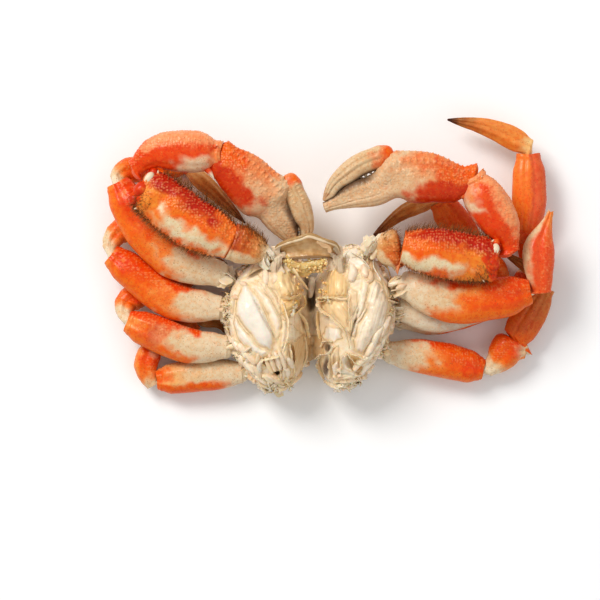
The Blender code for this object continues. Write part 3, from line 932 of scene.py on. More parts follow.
def knob(heap, foot, outward, radius, height, paint, ahead, stretch, place=(0.5, 0.0, 0.0), sides=10,
         rings=7):
    """Adds a rounded lump that stands on a surface and is longer ahead than across by stretch."""
    outward = unit(np.asarray(outward, float))
    side = unit(ahead - outward * (ahead @ outward))
    other = np.cross(outward, side)
    turn = np.linspace(-0.5, 0.5 * math.pi * 0.96, rings)
    angle = np.linspace(0, 2 * math.pi, sides, endpoint=False)
    spokes = np.cos(angle)[:, None] * side * stretch + np.sin(angle)[:, None] * other
    centre = foot + outward * (np.sin(turn) * height)[:, None]
    grid = centre[:, None] + spokes[None] * (radius * np.cos(turn))[:, None, None]
    heap.add_tube(grid, place, paint)


# The hinge at the far end of a claw's arm, in millimetres: across, up, radius, height, stretch, paint.
HINGE = ((5.0, 4.2, 2.3, 2.4, 1.7, (1.0, 0.0, 0.0)), (-1.5, 4.4, 3.4, 3.0, 1.3, (0.0, 0.0, 0.3)),
         (-7.0, 3.0, 2.8, 2.6, 1.2, (0.0, 0.0, 0.3)), (9.2, 2.0, 2.2, 2.4, 1.1, (0.0, 0.0, 0.3)))


def hinge(path):
    """A function that adds the knobs of a hinge at the far end of a path."""
    def add(heap):
        line, ahead, front, upward = (rows[0] for rows in path.at(np.array([0.98]))[:4])
        for across, rise, radius, height, stretch, paint in HINGE:
            foot = line + (front * across + upward * rise) * MM
            knob(heap, foot, upward + 0.6 * ahead, radius * MM, height * MM, paint, front, stretch,
                 (1.0, 0.4, 0.5), 24, 14)
    return add


def towards(path, other, share):
    """The angle around a path that faces the nearest point of another path."""
    line, _, front, upward, _ = (rows[0] for rows in path.at(np.array([share])))
    away = other.line - line
    away = away[np.argmin(np.linalg.norm(away, axis=1))]
    return math.atan2(away @ upward, away @ front)


def biting_edge(path, other, low, fill):
    """A function that draws the edge of a skin out towards another path and darkens it with painted shade of
    the gap between the fingers, from low onwards.
    """
    turn = towards(path, other, 0.5 + low / 2)

    def carve(grid, outward, place, paint):
        near = np.clip(place[..., 1] * math.cos(turn) + place[..., 2] * math.sin(turn), 0, 1) ** 2
        near = near * ease(place[..., 0], low - 0.08, low + 0.04)
        grid += outward * (near * fill * (1 - ease(place[..., 0], 0.85, 1.0)))[..., None]
        # painted shadow of the narrow gap between the fingers
        shade = 0.8 * ease(near, 0.55, 0.9) * ease(place[..., 0], low, low + 0.15)
        paint[..., 1] = np.maximum(paint[..., 1], shade)
    return carve


def teeth(path, other, low, high, count, height, fill, seed):
    """A function that adds a row of worn teeth along the edge of a path that faces another."""
    def add(heap):
        rng = np.random.default_rng(seed)
        for share in np.linspace(low, high, count):
            foot, outward = path.on(share, towards(path, other, share))
            foot = foot + outward * fill * (1 - ease(share, 0.85, 1.0)) * 0.9
            big = rng.uniform(0.7, 1.25)
            ahead = path.at(np.array([share]))[1][0]
            knob(heap, foot, outward, 0.85 * MM * big, height * big, (0.55, 0.12, 0.0), ahead, 1.15)
    return add


def thorns(path, rows):
    """A function that adds pointed knobs: (share, angle in degrees, radius, length, pale from) rows."""
    def add(heap):
        for share, angle, radius, length, pale_from in rows:
            foot, outward = path.on(share, math.radians(angle))
            ahead = path.at(np.array([share]))[1][0]
            tip = foot + (0.75 * outward + 0.65 * ahead) * length * MM
            spike(heap, foot - outward * 0.6 * MM, tip, radius * MM, (share, 0.0, 0.0), pale_from)
    return add


def both(*adders):
    """A function that runs several adders in turn."""
    def add(heap):
        for adder in adders:
            adder(heap)
    return add


def fringe(path, rng, count, angle, spread, low, high, lengths):
    """Roots, directions and lengths of bristles along a segment, around an angle in degrees."""
    roots, ways, sizes = [], [], []
    for _ in range(count):
        share = rng.uniform(low, high)
        foot, outward = path.on(share, math.radians(angle + rng.normal(0, spread)))
        ahead = path.at(np.array([share]))[1][0]
        roots.append(foot - outward * 0.3 * MM)
        ways.append(outward + 0.35 * ahead + rng.normal(0, 0.25, 3))
        sizes.append(rng.uniform(*lengths))
    return roots, ways, sizes


# ---------------------------------------------------------------- operators

class CRAB_OT_stage(bpy.types.Operator):
    """Make the floor, the soft lights and the camera above"""

    bl_idname = "crab.stage"
    bl_label = "Stage"

    def execute(self, context):
        settings = context.scene.crab_stage
        scene = context.scene
        centre = Vector((*settings.view_centre, 0.0))
        look = Look("floor_card")
        look.set(Base_Color=tuple(settings.floor_colour), Roughness=0.9)
        half = 1.6
        points = [(x + centre.x, y + centre.y, -0.0003) for x, y in ((-half, -half), (half, -half),
                                                                      (half, half), (-half, half))]
        floor = new_piece("floor_card", points, [[(0, 1, 2, 3)]], look.material)
        self.add_area(scene, "key_light", centre + Vector((-1.0, 1.15, 1.6)), centre, 0.85,
                      settings.key_power, (1.0, 0.985, 0.96))
        self.add_area(scene, "fill_light", centre + Vector((0.6, -0.25, 0.8)), centre, 0.9,
                      settings.fill_power, (0.96, 0.98, 1.0))
        world = bpy.data.worlds.new("sky")
        scene.world = world
        world.use_nodes = True
        sky = world.node_tree.nodes["Background"]
        sky.inputs[0].default_value = (1, 1, 1, 1)
        sky.inputs[1].default_value = settings.sky_strength
        scene.view_settings.view_transform = "Standard"
        scene.view_settings.look = "Medium High Contrast"
        camera = bpy.data.cameras.new("top_camera")
        camera.sensor_width = 36
        camera.lens = 36 * settings.camera_height / settings.view_width
        eye = bpy.data.objects.new("top_camera", camera)
        eye.location = centre + Vector((0, 0, settings.camera_height + 0.025))
        scene.collection.objects.link(eye)
        scene.camera = eye
        return {"FINISHED"}

    @staticmethod
    def add_area(scene, name, place, target, size, power, colour):
        """A square soft light aimed at a point."""
        lamp = bpy.data.lights.new(name, "AREA")
        lamp.size = size
        lamp.energy = power
        lamp.color = colour
        light = bpy.data.objects.new(name, lamp)
        light.location = place
        light.rotation_euler = (target - place).to_track_quat("-Z", "Y").to_euler()
        scene.collection.objects.link(light)


class CRAB_OT_legs(bpy.types.Operator):
    """Dress the eight walking legs in lipped and fluted shell"""

    bl_idname = "crab.legs"
    bl_label = "Walking legs"

    def execute(self, context):
        blush = tuple(context.scene.crab_shell.blush)
        for number, leg in enumerate(LEGS):
            for segment, path in trace_limb(leg, LEG_STYLES).items():
                name = f"{leg}_{segment}"
                material = shell_look(name, f"leg_{segment}", blush)
                carve = self.darken_tip if segment == "dactyl" else None
                dress(name, path, LEG_STYLES[segment], 10 * number + len(segment), material, carve)
        return {"FINISHED"}

    @staticmethod
    def darken_tip(_grid, _outward, place, paint):
        """The horny end of a last segment is dark brown."""
        paint[..., 1] = np.maximum(paint[..., 1], 0.75 * ease(place[..., 0], 0.86, 0.97))


class CRAB_OT_claws(bpy.types.Operator):
    """Dress both claws: arm, wrist, palm and fingers, with granules, knobs, spines and teeth"""

    bl_idname = "crab.claws"
    bl_label = "Claws"

    def execute(self, context):
        settings = context.scene.crab_shell
        blush = tuple(settings.blush)
        for number, claw in enumerate(CLAWS):
            paths = trace_limb(claw, CLAW_STYLES)
            palm, finger = paths["palm"], paths["finger"]
            spine = settings.spine_length / MM
            fill = settings.bite_fill
            thorn_rows = {  # share of the length, degrees, radius, length, where the pale tip begins
                "merus": [(0.93, 20, 0.9, 2.2, 0.3), (0.9, 160, 0.9, 2.0, 0.3)],
                "carpus": [(0.88, 168, 2.0, 1.35 * spine, 0.3), (0.95, 60, 1.0, 1.6, 0.6)],
                "palm": [(0.53, 50, 1.5, 1.8, 0.8), (0.57, 75, 1.4, 1.6, 0.9), (0.5, 25, 1.3, 1.6, 0.6)],
            }
            points = {segment: thorns(paths[segment], rows) for segment, rows in thorn_rows.items()}
            extras = {
                "merus": both(hinge(paths["merus"]), points["merus"]),
                "carpus": points["carpus"],
                "palm": both(teeth(palm, finger, 0.62, 0.95, 10, settings.tooth_height, fill, 5),
                             points["palm"]),
                "finger": teeth(finger, palm, 0.2, 0.95, 10, settings.tooth_height, fill, 9),
            }
            carves = {
                "palm": biting_edge(palm, finger, 0.56, fill),
                "finger": biting_edge(finger, palm, 0.1, fill),
            }
            for segment, path in paths.items():
                name = f"{claw}_{segment}"
                material = shell_look(name, f"claw_{segment}", blush)
                dress(name, path, CLAW_STYLES[segment], 100 + 10 * number + len(segment), material,
                      carves.get(segment), extras.get(segment))
            self.add_bristles(claw, paths, settings, number)
        return {"FINISHED"}

    @staticmethod
    def add_bristles(claw, paths, settings, number):
        """Fringes of stiff hair along the arm and around the first segment."""
        rng = np.random.default_rng(40 + number)
        long = settings.bristle_length
        look = Look(claw + "_hair")
        thick = look.mark("place")[0]
        look.set(Base_Color=look.ramp(thick, [(0.0, tuple(settings.bristle_colour)),
                                              (1.0, tone(186, 126, 62))]), Roughness=0.5)
        rows = [fringe(paths["merus"], rng, 420, 6, 7, 0.03, 0.9, (0.6 * long, 1.25 * long)),
                fringe(paths["merus"], rng, 520, 172, 8, 0.1, 0.97, (0.4 * long, 0.75 * long)),
                fringe(paths["ischium"], rng, 300, 15, 28, 0.05, 0.95, (0.5 * long, long)),
                fringe(paths["merus"], rng, 160, 140, 22, 0.82, 0.99, (0.3 * long, 0.6 * long))]
        roots, ways, lengths = (sum((row[k] for row in rows), []) for k in range(3))
        bristles(claw + "_bristles", roots, ways, lengths, 0.11 * MM, look.material, number)


# ---------------------------------------------------------------- the body's meat

class Ground:
    """The top of the body's solid as a smooth height map, to lay meat on."""

    STEP = 1.0 * MM
    MARGIN = 8 * MM

    def __init__(self):
        self.points, self.tree = solid_tree("body")
        low, high = self.points.min(axis=0), self.points.max(axis=0)
        self.corner = low[:2] - self.MARGIN
        across, along = ((high[:2] - low[:2] + 2 * self.MARGIN) / self.STEP).astype(int)
        self.heights = np.array([[self.drop(self.corner[0] + i * self.STEP, self.corner[1] + j * self.STEP)
                                  for j in range(along)] for i in range(across)])
        for _ in range(2):
            padded = np.pad(self.heights, 1, "edge")
            self.heights = (padded[:-2, 1:-1] + padded[2:, 1:-1] + padded[1:-1, :-2] + padded[1:-1, 2:]
                            + 2 * padded[1:-1, 1:-1]) / 6

    def drop(self, x, y):
        """The height of the solid's top under one point, or a little above the floor beside it."""
        place = self.tree.ray_cast(Vector((x, y, 0.1)), Vector((0, 0, -1)))[0]
        return place.z if place is not None else 6 * MM

    def height(self, spots):
        """Heights at an array of (x, y) spots."""
        place = (spots - self.corner) / self.STEP
        place = np.clip(place, 0, np.array(self.heights.shape) - 1.001)
        cell = place.astype(int)
        i, j = cell[:, 0], cell[:, 1]
        u, v = (place - cell).T
        grid = self.heights
        return ((grid[i, j] * (1 - u) + grid[i + 1, j] * u) * (1 - v)
                + (grid[i, j + 1] * (1 - u) + grid[i + 1, j + 1] * u) * v)

    def lay(self, spots, rise=0.0):
        """Points on the top at (x, y) spots in millimetres, raised by rise, and the ways out of it."""
        spots = np.asarray(spots, float) * MM
        nudge = 1.5 * MM
        slope = [(self.height(spots + step) - self.height(spots - step)) / (2 * nudge)
                 for step in (np.array((nudge, 0)), np.array((0, nudge)))]
        outward = unit(np.stack([-np.clip(slope[0], -1.5, 1.5), -np.clip(slope[1], -1.5, 1.5),
                                 np.ones(len(spots))], axis=1))
        place = np.concatenate([spots, self.height(spots)[:, None]], axis=1)
        return place + outward * (np.asarray(rise) * MM).reshape(-1, 1), outward


def bundle(heap, line, outward, widths, thick, own, paint, seed, fibre=0.16):
    """Adds a bundle of muscle: a closed tube along a line, flat against outward, with fibres along it."""
    length = length_of(line)
    rings = int(np.clip(length / (0.45 * MM), 14, 110))
    around = int(np.clip(np.max(widths) * 9, 16, 72))
    share = np.linspace(0, 1, rings)
    place, side, facing = laid_line(line, outward, rings)
    taper = np.sqrt(np.clip(1 - (2 * share - 1) ** 2, 0, 1)) ** 0.7
    wide = np.interp(share, np.linspace(0, 1, len(widths)), widths) * taper * MM + 0.15 * MM
    high = thick * np.minimum(1, 1.4 * taper) * MM + 0.1 * MM
    angle = np.linspace(0, 2 * math.pi, around, endpoint=False)
    cos, sin = np.cos(angle), np.sin(angle)
    grid = (place[:, None] + side[:, None] * (wide[:, None] * cos)[..., None]
            + facing[:, None] * (high[:, None] * sin)[..., None])
    spoke = unit(side[:, None] * cos[None, :, None] + facing[:, None] * 1.6 * sin[None, :, None])
    weave = np.stack([np.broadcast_to(share[:, None] * length / MM * 0.16, (rings, around)),
                      np.broadcast_to(cos * np.max(widths) * 1.5, (rings, around)),
                      np.broadcast_to(sin * 2.0, (rings, around))], axis=-1).reshape(-1, 3)
    strands = wobble(weave, 1.0, seed) + 0.6 * wobble(weave * (1.4, 2.3, 2.0), 1.0, seed + 1)
    lumps = rough(grid.reshape(-1, 3), 5 * MM, seed + 2)
    relief = (fibre * strands + 0.35 * lumps).reshape(rings, around) * taper[:, None]
    grid = grid + spoke * (relief * MM)[..., None]
    heap.add_tube(grid, grid_marks(share, angle / (2 * math.pi), own), paint)


def sheet(heap, line, outward, low, high, own, paint, seed, stand=0.0, thick=0.35, curl=0.0, rag=0.5,
          ripple=0.4):
    """Adds a thin plate along a line, from low to high across it; stand turns it from flat to upright."""
    length = length_of(line)
    rings = int(np.clip(length / (0.5 * MM), 10, 90))
    columns = int(np.clip((np.max(high) - np.min(low)) / 0.6, 5, 26))
    share = np.linspace(0, 1, rings)
    place, side, facing = laid_line(line, outward, rings)
    turn = math.radians(stand)
    across = side * math.cos(turn) + facing * math.sin(turn)
    over = facing * math.cos(turn) - side * math.sin(turn)
    edge_low, edge_high = (np.interp(share, np.linspace(0, 1, len(edge)), edge)
                           for edge in (np.atleast_1d(low), np.atleast_1d(high)))
    jag = np.stack([share * length / MM, np.zeros(rings), np.zeros(rings)], axis=1)
    edge_high = edge_high + rag * (wobble(jag, 1.6, seed) + 0.7 * wobble(jag, 0.7, seed + 1))
    edge_low = edge_low + 0.5 * rag * wobble(jag, 1.9, seed + 2)
    spread = np.linspace(0, 1, columns)
    reach = edge_low[:, None] + (edge_high - edge_low)[:, None] * spread
    flat = place[:, None] + across[:, None] * (reach * MM)[..., None]
    wave = ripple * rough(flat.reshape(-1, 3), 4.0 * MM, seed + 3).reshape(rings, columns)
    wave = wave + curl * spread ** 2
    top = flat + over[:, None] * (wave * MM)[..., None]
    thin = thick * (0.35 + 0.65 * np.sqrt(np.clip(1 - (2 * spread - 1) ** 4, 0, 1)))
    under = top - over[:, None] * (thin * MM)[None, :, None]
    grid = np.concatenate([top, under[:, ::-1]], axis=1)
    lanes = np.concatenate([spread, spread[::-1]])
    heap.add_tube(grid, grid_marks(share, lanes * 0.5, own), paint)


def crumb(heap, centre, radius, own, paint, seed):
    """Adds one lumpy, somewhat flat grain."""
    turn, angle = np.meshgrid(np.linspace(-0.47, 0.47, 7) * math.pi,
                              np.linspace(0, 2 * math.pi, 9, endpoint=False), indexing="ij")
    grid = np.stack([np.cos(turn) * np.cos(angle), np.cos(turn) * np.sin(angle), 0.7 * np.sin(turn)],
                    axis=-1)
    grow = 1 + 0.4 * wobble(grid.reshape(-1, 3) + seed, 0.8, seed).reshape(turn.shape)
    heap.add_tube(centre + grid * grow[..., None] * radius, (0.5, 0.5, own), paint)


def flake(heap, ground, rng, spot, size, rise, own, paint):
    """Adds one small torn flake of meat or shell lying or standing on the body."""
    way = rng.uniform(0, 2 * math.pi)
    half = np.array((math.cos(way), math.sin(way))) * size * 0.5
    bend = np.array((-half[1], half[0])) * rng.uniform(-0.4, 0.4)
    line, outward = ground.lay([spot - half, spot + bend, spot + half], rise)
    lean = rng.uniform(-50, 80)
    wide = size * rng.uniform(0.3, 0.6)
    sheet(heap, line, outward, -0.3, (0.3 * wide, wide, 0.5 * wide), own, paint, int(rng.integers(9999)),
          stand=lean, thick=0.4, rag=0.35, ripple=0.5, curl=rng.uniform(-0.6, 0.6))


# Facets of meat and membrane on the top, as outlines seen from above: outline, height, pale, warm, dark.
FACETS = (
    # the left half, from the large white muscle outwards
    (((-42, -15), (-39.5, -15), (-32.5, -25.5), (-26.5, -38), (-26, -43), (-27.5, -47), (-34, -44),
      (-46, -29), (-44.5, -21)), 3.4, 0.95, 0.0, 0.0),
    (((-46.5, -30), (-34.5, -45), (-28, -48.5), (-32, -51), (-36, -49.5), (-44.5, -41), (-47, -34.5)), 2.6,
     0.8, 0.0, 0.0),
    (((-38.5, -14), (-34.5, -14.5), (-27.5, -25), (-23.5, -31), (-23, -34.5), (-25, -41), (-26, -37),
      (-32, -25)), 2.5, 0.55, 0.0, 0.0),
    (((-36, -12.5), (-29.5, -11.5), (-27.5, -17.5), (-23.5, -25), (-23.5, -30), (-28.5, -23.5), (-34, -15)),
     2.1, 0.4, 0.15, 0.0),
    (((-35, -9), (-27.5, -5), (-25.5, -7.5), (-26.5, -16.5), (-28.5, -16), (-32.5, -11.5)), 1.9, 0.35, 0.2,
     0.0),
    (((-24.5, 1.5), (-20.5, -3.5), (-17.5, -11.5), (-12.5, -17), (-14, -19.5), (-19.5, -21.5), (-24, -21),
      (-26.5, -14.5), (-27, -7.5)), 3.6, 0.1, 0.55, 0.0),
    (((-24, -21.5), (-14, -21), (-12.5, -25.5), (-15.5, -28), (-18.5, -30), (-21, -32), (-23.5, -28)), 2.4,
     0.0, 0.7, 0.05),
    (((-48, -7), (-36, -3), (-37.5, -7.5), (-44, -14), (-46.5, -16.5), (-47.5, -11.5)), 1.5, 0.5, 0.0,
     0.08),
    (((-46.5, -41), (-39, -47), (-34, -52), (-33.5, -57.5), (-39.5, -52.5), (-46, -46.5), (-49.5, -44)),
     1.8, 0.25, 0.1, 0.0),
    (((-49.5, -48.5), (-45.5, -47.5), (-39.5, -53.5), (-32.5, -59), (-25.5, -62.5), (-27.5, -65),
      (-36, -60.5), (-42, -57)), 1.5, 0.4, 0.0, 0.0),
    (((-33.5, -53.5), (-25.5, -50.5), (-23, -52), (-27.5, -55), (-32, -57.5)), 1.3, 0.0, 0.45, 0.0),
    (((-22.5, -43.5), (-17.5, -43), (-11.5, -40.5), (-10.5, -46), (-11.5, -53.5), (-15.5, -58.5),
      (-19.5, -62), (-23, -60), (-20.5, -53.5), (-21, -47.5)), 1.0, 0.05, 0.3, 0.12),
    (((-23, -31.5), (-20.5, -33), (-20.5, -41), (-22.5, -47.5), (-24.5, -48.5), (-23.5, -40.5),
      (-23, -35.5)), 2.8, 0.5, 0.15, 0.0),
    (((-19.5, -34), (-15.5, -36), (-11.5, -40), (-20.5, -43)), 0.8, 0.25, 0.1, 0.1),
    # the right half
    (((22.5, -12), (25.5, -13.5), (29.5, -21), (31, -27), (29, -33), (24.5, -39.5), (19.5, -46),
      (17.5, -49.5), (13, -47), (12.5, -42), (17.5, -31), (19.5, -23), (21, -16.5)), 3.5, 0.5, 0.0, 0.0),
    (((19.5, -23.5), (20.5, -24), (15.5, -34.5), (13, -41), (11, -40), (12.5, -35.5)), 2.9, 0.95, 0.0, 0.0),
    (((16.5, -10.5), (20.5, -14), (19.5, -21), (16.5, -29), (12.5, -35), (11.5, -31), (15.5, -22)), 2.4,
     0.45, 0.05, 0.0),
    (((10, -16), (14.5, -17.5), (14.5, -25), (11, -30.5), (10, -23)), 2.0, 0.3, 0.25, 0.0),
    (((8.5, -4.5), (16, -8), (16.5, -11), (12.5, -11), (8, -9.5)), 1.7, 0.25, 0.3, 0.0),
    (((1.5, -3.5), (5.5, -2), (8, -7.5), (10, -13.5), (9.5, -20.5), (4, -21), (-3.5, -21.5), (-2, -15),
      (-0.5, -9)), 3.4, 0.15, 0.55, 0.0),
    (((-3, -22.5), (4, -22), (9.5, -22), (10.5, -33), (11, -39.5), (8, -36), (3, -31), (-3, -26)), 2.7, 0.3,
     0.45, 0.0),
    (((22.5, -2), (27.5, -3.5), (31, -6.5), (32, -11.5), (31, -16.5), (27.5, -13.5), (24.5, -9.5),
      (22.5, -5.5)), 1.8, 0.55, 0.0, 0.06),
    (((8.5, 3), (14.5, 4.5), (18, 2.5), (21.5, -2.5), (22.5, -9), (19.5, -9), (13, -5), (9, -2.5)), 2.2,
     0.75, 0.0, 0.0),
    (((32, -23), (33.5, -29), (29.5, -38), (24.5, -47.5), (20.5, -53.5), (19.5, -50), (25.5, -40.5),
      (30.5, -33)), 1.9, 0.35, 0.05, 0.0),
    (((33.5, -30), (32.5, -43), (28.5, -49.5), (21.5, -55), (24.5, -48.5), (30, -38.5)), 1.5, 0.3, 0.1,
     0.0),
    (((-2, -36.5), (5.5, -35.5), (7, -42), (2, -43), (-3, -41)), 1.2, 0.9, 0.0, 0.0),
    (((1.5, -47), (5.5, -45), (6.5, -51), (5.5, -60.5), (3, -62.5), (1, -56)), 1.0, 0.1, 0.3, 0.1),
    (((7, -50), (10, -49), (11, -53), (15.5, -59), (10, -62), (6.5, -58.5)), 1.5, 0.55, 0.05, 0.0),
    (((11, -49), (19, -52), (17.5, -56.5), (14.5, -58.5), (11, -53.5)), 0.2, 0.0, 0.65, 0.05),
    (((19, -53.5), (25.5, -50), (27.5, -51.5), (24.5, -57.5), (17.5, -62), (8, -65.5), (3.5, -63.5),
      (10.5, -62), (16.5, -58)), 1.3, 0.45, 0.05, 0.0),
    (((-1, -62.5), (3.5, -64.5), (8, -66), (5, -69), (0, -65.5)), 0.9, 0.35, 0.1, 0.0),
    (((-8.5, -40.5), (-3.5, -41), (-3, -48.5), (-3.5, -56), (-1, -62), (-5.5, -59.5), (-9, -53.5)), 0.8,
     0.05, 0.3, 0.15),
)
# Fans of thinner parallel bundles: first and last line of the fan, how many, half-width, rise, pale, warm.
MEAT_FANS = (
    (((-50, -45), (-44.5, -52)), ((-38, -54), (-33, -61)), 5, 1.7, 0.2, 0.3, 0.1),
    (((-51, -36), (-47.5, -44)), ((-41, -48), (-36, -55)), 4, 1.6, 0.1, 0.35, 0.05),
    (((-50.5, -18), (-49.5, -30)), ((-47.5, -16), (-48, -30)), 3, 1.3, -0.6, 0.3, 0.1),
    (((32.5, -24), (30.5, -36)), ((25, -40), (18.5, -51)), 4, 1.7, 0.1, 0.35, 0.05),
    (((31.5, -37), (26, -47)), ((21, -50), (13, -58)), 5, 1.6, 0.0, 0.3, 0.1),
    (((-31, -51), (-27, -59)), ((-24, -47), (-21.5, -57)), 4, 1.4, -0.6, 0.25, 0.2),
    (((2.5, -55), (12, -58)), ((6, -64), (20, -62)), 5, 1.5, -0.3, 0.3, 0.15),
    (((-36, -60), (-30, -64)), ((-28, -59), (-22, -64)), 4, 1.4, -0.2, 0.3, 0.15),
    (((-31, -7), (-30, -15)), ((-27, -7), (-26.5, -14)), 2, 2.0, -0.4, 0.4, 0.1),
    (((11, -4), (11.5, -13)), ((17, -4), (18.5, -11)), 2, 2.2, -0.4, 0.45, 0.0),
)
# Thin plates: points, how far they reach to each side, rise, colour number, pale, warm, stand, curl.
PLATES = (
    (((-21, -2.5), (-17.8, -10), (-12.6, -17)), -0.8, (1.0, 1.8, 1.2), 3.6, 0.5, 0.35, 0.35, 60, 0.3),
    (((-14, -19.5), (-19, -21.6), (-23.8, -21)), -0.8, (0.8, 1.4, 0.8), 2.6, 0.5, 0.3, 0.5, 40, 0.3),
    (((-12.5, -20), (-12.2, -25), (-17.5, -29.5)), -0.8, (0.8, 1.8, 1.0), 1.8, 0.5, 0.2, 0.6, 55, 0.4),
    (((-3.4, -22), (-2.8, -26), (3.2, -31), (8.2, -37), (10.8, -46)), -0.8, (1.0, 1.6, 1.8, 1.2), 2.4, 0.5,
     0.5, 0.3, 70, 0.4),
    (((10.2, -19), (10.6, -28), (11.2, -37)), -0.5, (0.6, 1.2, 0.6), 2.8, 0.5, 0.5, 0.3, 70, 0.2),
    (((-3.6, -21), (4, -21.3), (9.4, -21)), -0.6, (0.6, 1.0, 0.6), 2.9, 0.5, 0.3, 0.4, 40, 0.2),
    (((-48, -7), (-42, -4.6), (-36, -3)), -0.6, (0.8, 1.4, 0.8), 1.0, 0.2, 0.7, 0.0, 40, 0.5),
    (((27, -3), (31.2, -6.5), (32.4, -12), (31.2, -17)), -0.6, (0.8, 1.4, 0.8), 1.2, 0.7, 0.2, 0.6, 55,
     0.4),
    (((22.3, -2), (22.8, -7), (26, -12.5)), -0.6, (0.6, 1.0, 0.6), 1.6, 0.2, 0.8, 0.0, 45, 0.4),
    (((8, 3.2), (13, 5), (18, 3)), -1.2, (1.0, 1.6, 1.0), 1.8, 0.1, 0.85, 0.0, 20, 0.6),
    (((12, 0.5), (17, -2), (20.5, -7)), -0.8, (0.8, 1.4, 0.8), 2.0, 0.1, 0.8, 0.0, 35, 0.5),
    (((-22.6, -23), (-20.4, -32), (-20.6, -41), (-22.5, -48)), -0.5, (0.8, 1.6, 1.4, 0.8), 2.2, 0.4, 0.5,
     0.25, 75, 0.3),
    (((-15, -27), (-11.5, -34), (-9.5, -41)), -0.5, (1.4, 2.4, 1.4), 0.8, 0.5, 0.25, 0.35, 78, 0.3),
    (((-5, -28), (-4.5, -35), (-3.5, -42)), -0.5, (1.2, 2.2, 1.2), 0.8, 0.5, 0.25, 0.35, 102, 0.3),
    (((-19.4, -43.5), (-18, -50), (-16.8, -58)), -0.4, (0.8, 1.4, 0.8), 0.8, 0.45, 0.35, 0.3, 70, 0.4),
    (((-24, -50), (-23.6, -56), (-22.5, -61)), -0.4, (0.8, 1.4, 0.8), 0.8, 0.45, 0.3, 0.4, 70, 0.4),
    (((-10.8, -41), (-10.4, -50), (-13, -58)), -0.8, (1.0, 2.0, 1.0), 0.2, 0.45, 0.35, 0.3, 60, 0.4),
    (((-3.6, -49.5), (-4.2, -55), (-1.6, -62)), -0.5, (1.0, 1.8, 1.0), 1.0, 0.45, 0.5, 0.25, 75, 0.4),
    (((-6.5, -52), (-3, -49.5), (1, -48.5), (2.8, -45)), -0.5, (0.8, 1.2, 0.8), 1.2, 0.45, 0.55, 0.2, 75,
     0.4),
    (((-3.4, -46), (-1.5, -43), (2, -42.8)), -0.5, (0.8, 1.2, 0.8), 1.0, 0.45, 0.5, 0.2, 75, 0.4),
    (((1.0, -48), (1.2, -55), (1.6, -61.5)), -0.4, (0.6, 1.0, 0.6), 1.2, 0.45, 0.45, 0.3, 80, 0.2),
    (((6.8, -49), (6.4, -55), (6.8, -60)), -0.4, (0.8, 1.2, 0.8), 1.2, 0.5, 0.45, 0.2, 80, 0.2),
    (((7, -50), (9, -48.4), (11, -50), (14, -53.5), (16.8, -53)), -0.5, (0.8, 1.3, 1.0, 0.8), 1.4, 0.5,
     0.55, 0.2, 70, 0.3),
    (((11, -48.5), (15, -49.8), (19, -52)), -0.5, (0.8, 1.3, 0.8), 1.2, 0.5, 0.5, 0.3, 60, 0.3),
    (((-33, -52.5), (-28, -50.5), (-24, -50)), -0.5, (0.8, 1.4, 0.8), 1.2, 0.5, 0.45, 0.3, 60, 0.3),
    (((-26, -62), (-20, -64.5), (-16, -60)), -0.6, (1.0, 2.0, 1.0), 0.8, 0.3, 0.5, 0.2, 60, 0.4),
    (((-1.5, -62.5), (4, -64.8), (12, -62.8)), -0.6, (0.8, 1.6, 0.8), 1.2, 0.3, 0.55, 0.1, 55, 0.4),
)
# Pockets sunk into the core: middle, half-length, half-width, turn in degrees, depth, dark (painted shade
# inside), warm.
POCKETS = (
    ((-8.7, -11.5), 8.5, 3.6, 88, 8.0, 0.9, 0.0), ((-8.4, -22.5), 6.0, 2.8, 90, 5.0, 0.6, 0.5),
    ((-11.5, -32.5), 5.5, 1.3, 96, 4.0, 0.4, 0.5), ((-5.4, -33.0), 5.0, 1.2, 84, 4.0, 0.4, 0.5),
    ((-17.2, -50.0), 6.0, 1.5, 98, 6.5, 0.85, 0.3), ((-25.3, -58.6), 1.8, 1.1, 20, 4.0, 0.8, 0.3),
    ((-0.5, -46.0), 2.6, 2.0, 90, 5.0, 0.85, 0.2), ((-1.3, -56.0), 6.0, 2.0, 82, 7.5, 0.95, 0.1),
    ((12.5, -54.0), 5.0, 3.0, -30, 4.5, 0.35, 0.7), ((-28.5, -53.5), 4.5, 2.2, -20, 3.5, 0.4, 0.6),
    ((-31.5, -31.0), 13.0, 0.7, 118, 2.5, 0.7, 0.1), ((13.5, -33.0), 10.0, 0.7, 75, 2.5, 0.65, 0.2),
    ((3.2, -55.0), 6.0, 1.6, 88, 3.0, 0.2, 0.6), ((-14.0, -24.5), 3.0, 1.4, 60, 4.0, 0.6, 0.4),
    ((-36.0, -9.0), 5.0, 1.2, 30, 2.5, 0.5, 0.2), ((20.8, -4.0), 4.0, 1.2, -40, 2.5, 0.5, 0.3),
)


def inside_depth(spots, outline):
    """How deep each spot is inside an outline, with less than 0 outside it."""
    nearest = np.full(len(spots), 1e9)
    inside = np.zeros(len(spots), bool)
    for a, b in zip(outline, np.roll(outline, -1, axis=0)):
        edge = b - a
        share = np.clip(((spots - a) @ edge) / (edge @ edge), 0, 1)
        nearest = np.minimum(nearest, np.linalg.norm(spots - a - share[:, None] * edge, axis=1))
        if a[1] != b[1]:
            crossing = a[0] + (spots[:, 1] - a[1]) * edge[0] / edge[1]
            inside ^= ((a[1] > spots[:, 1]) != (b[1] > spots[:, 1])) & (spots[:, 0] < crossing)
    return np.where(inside, nearest, -nearest)


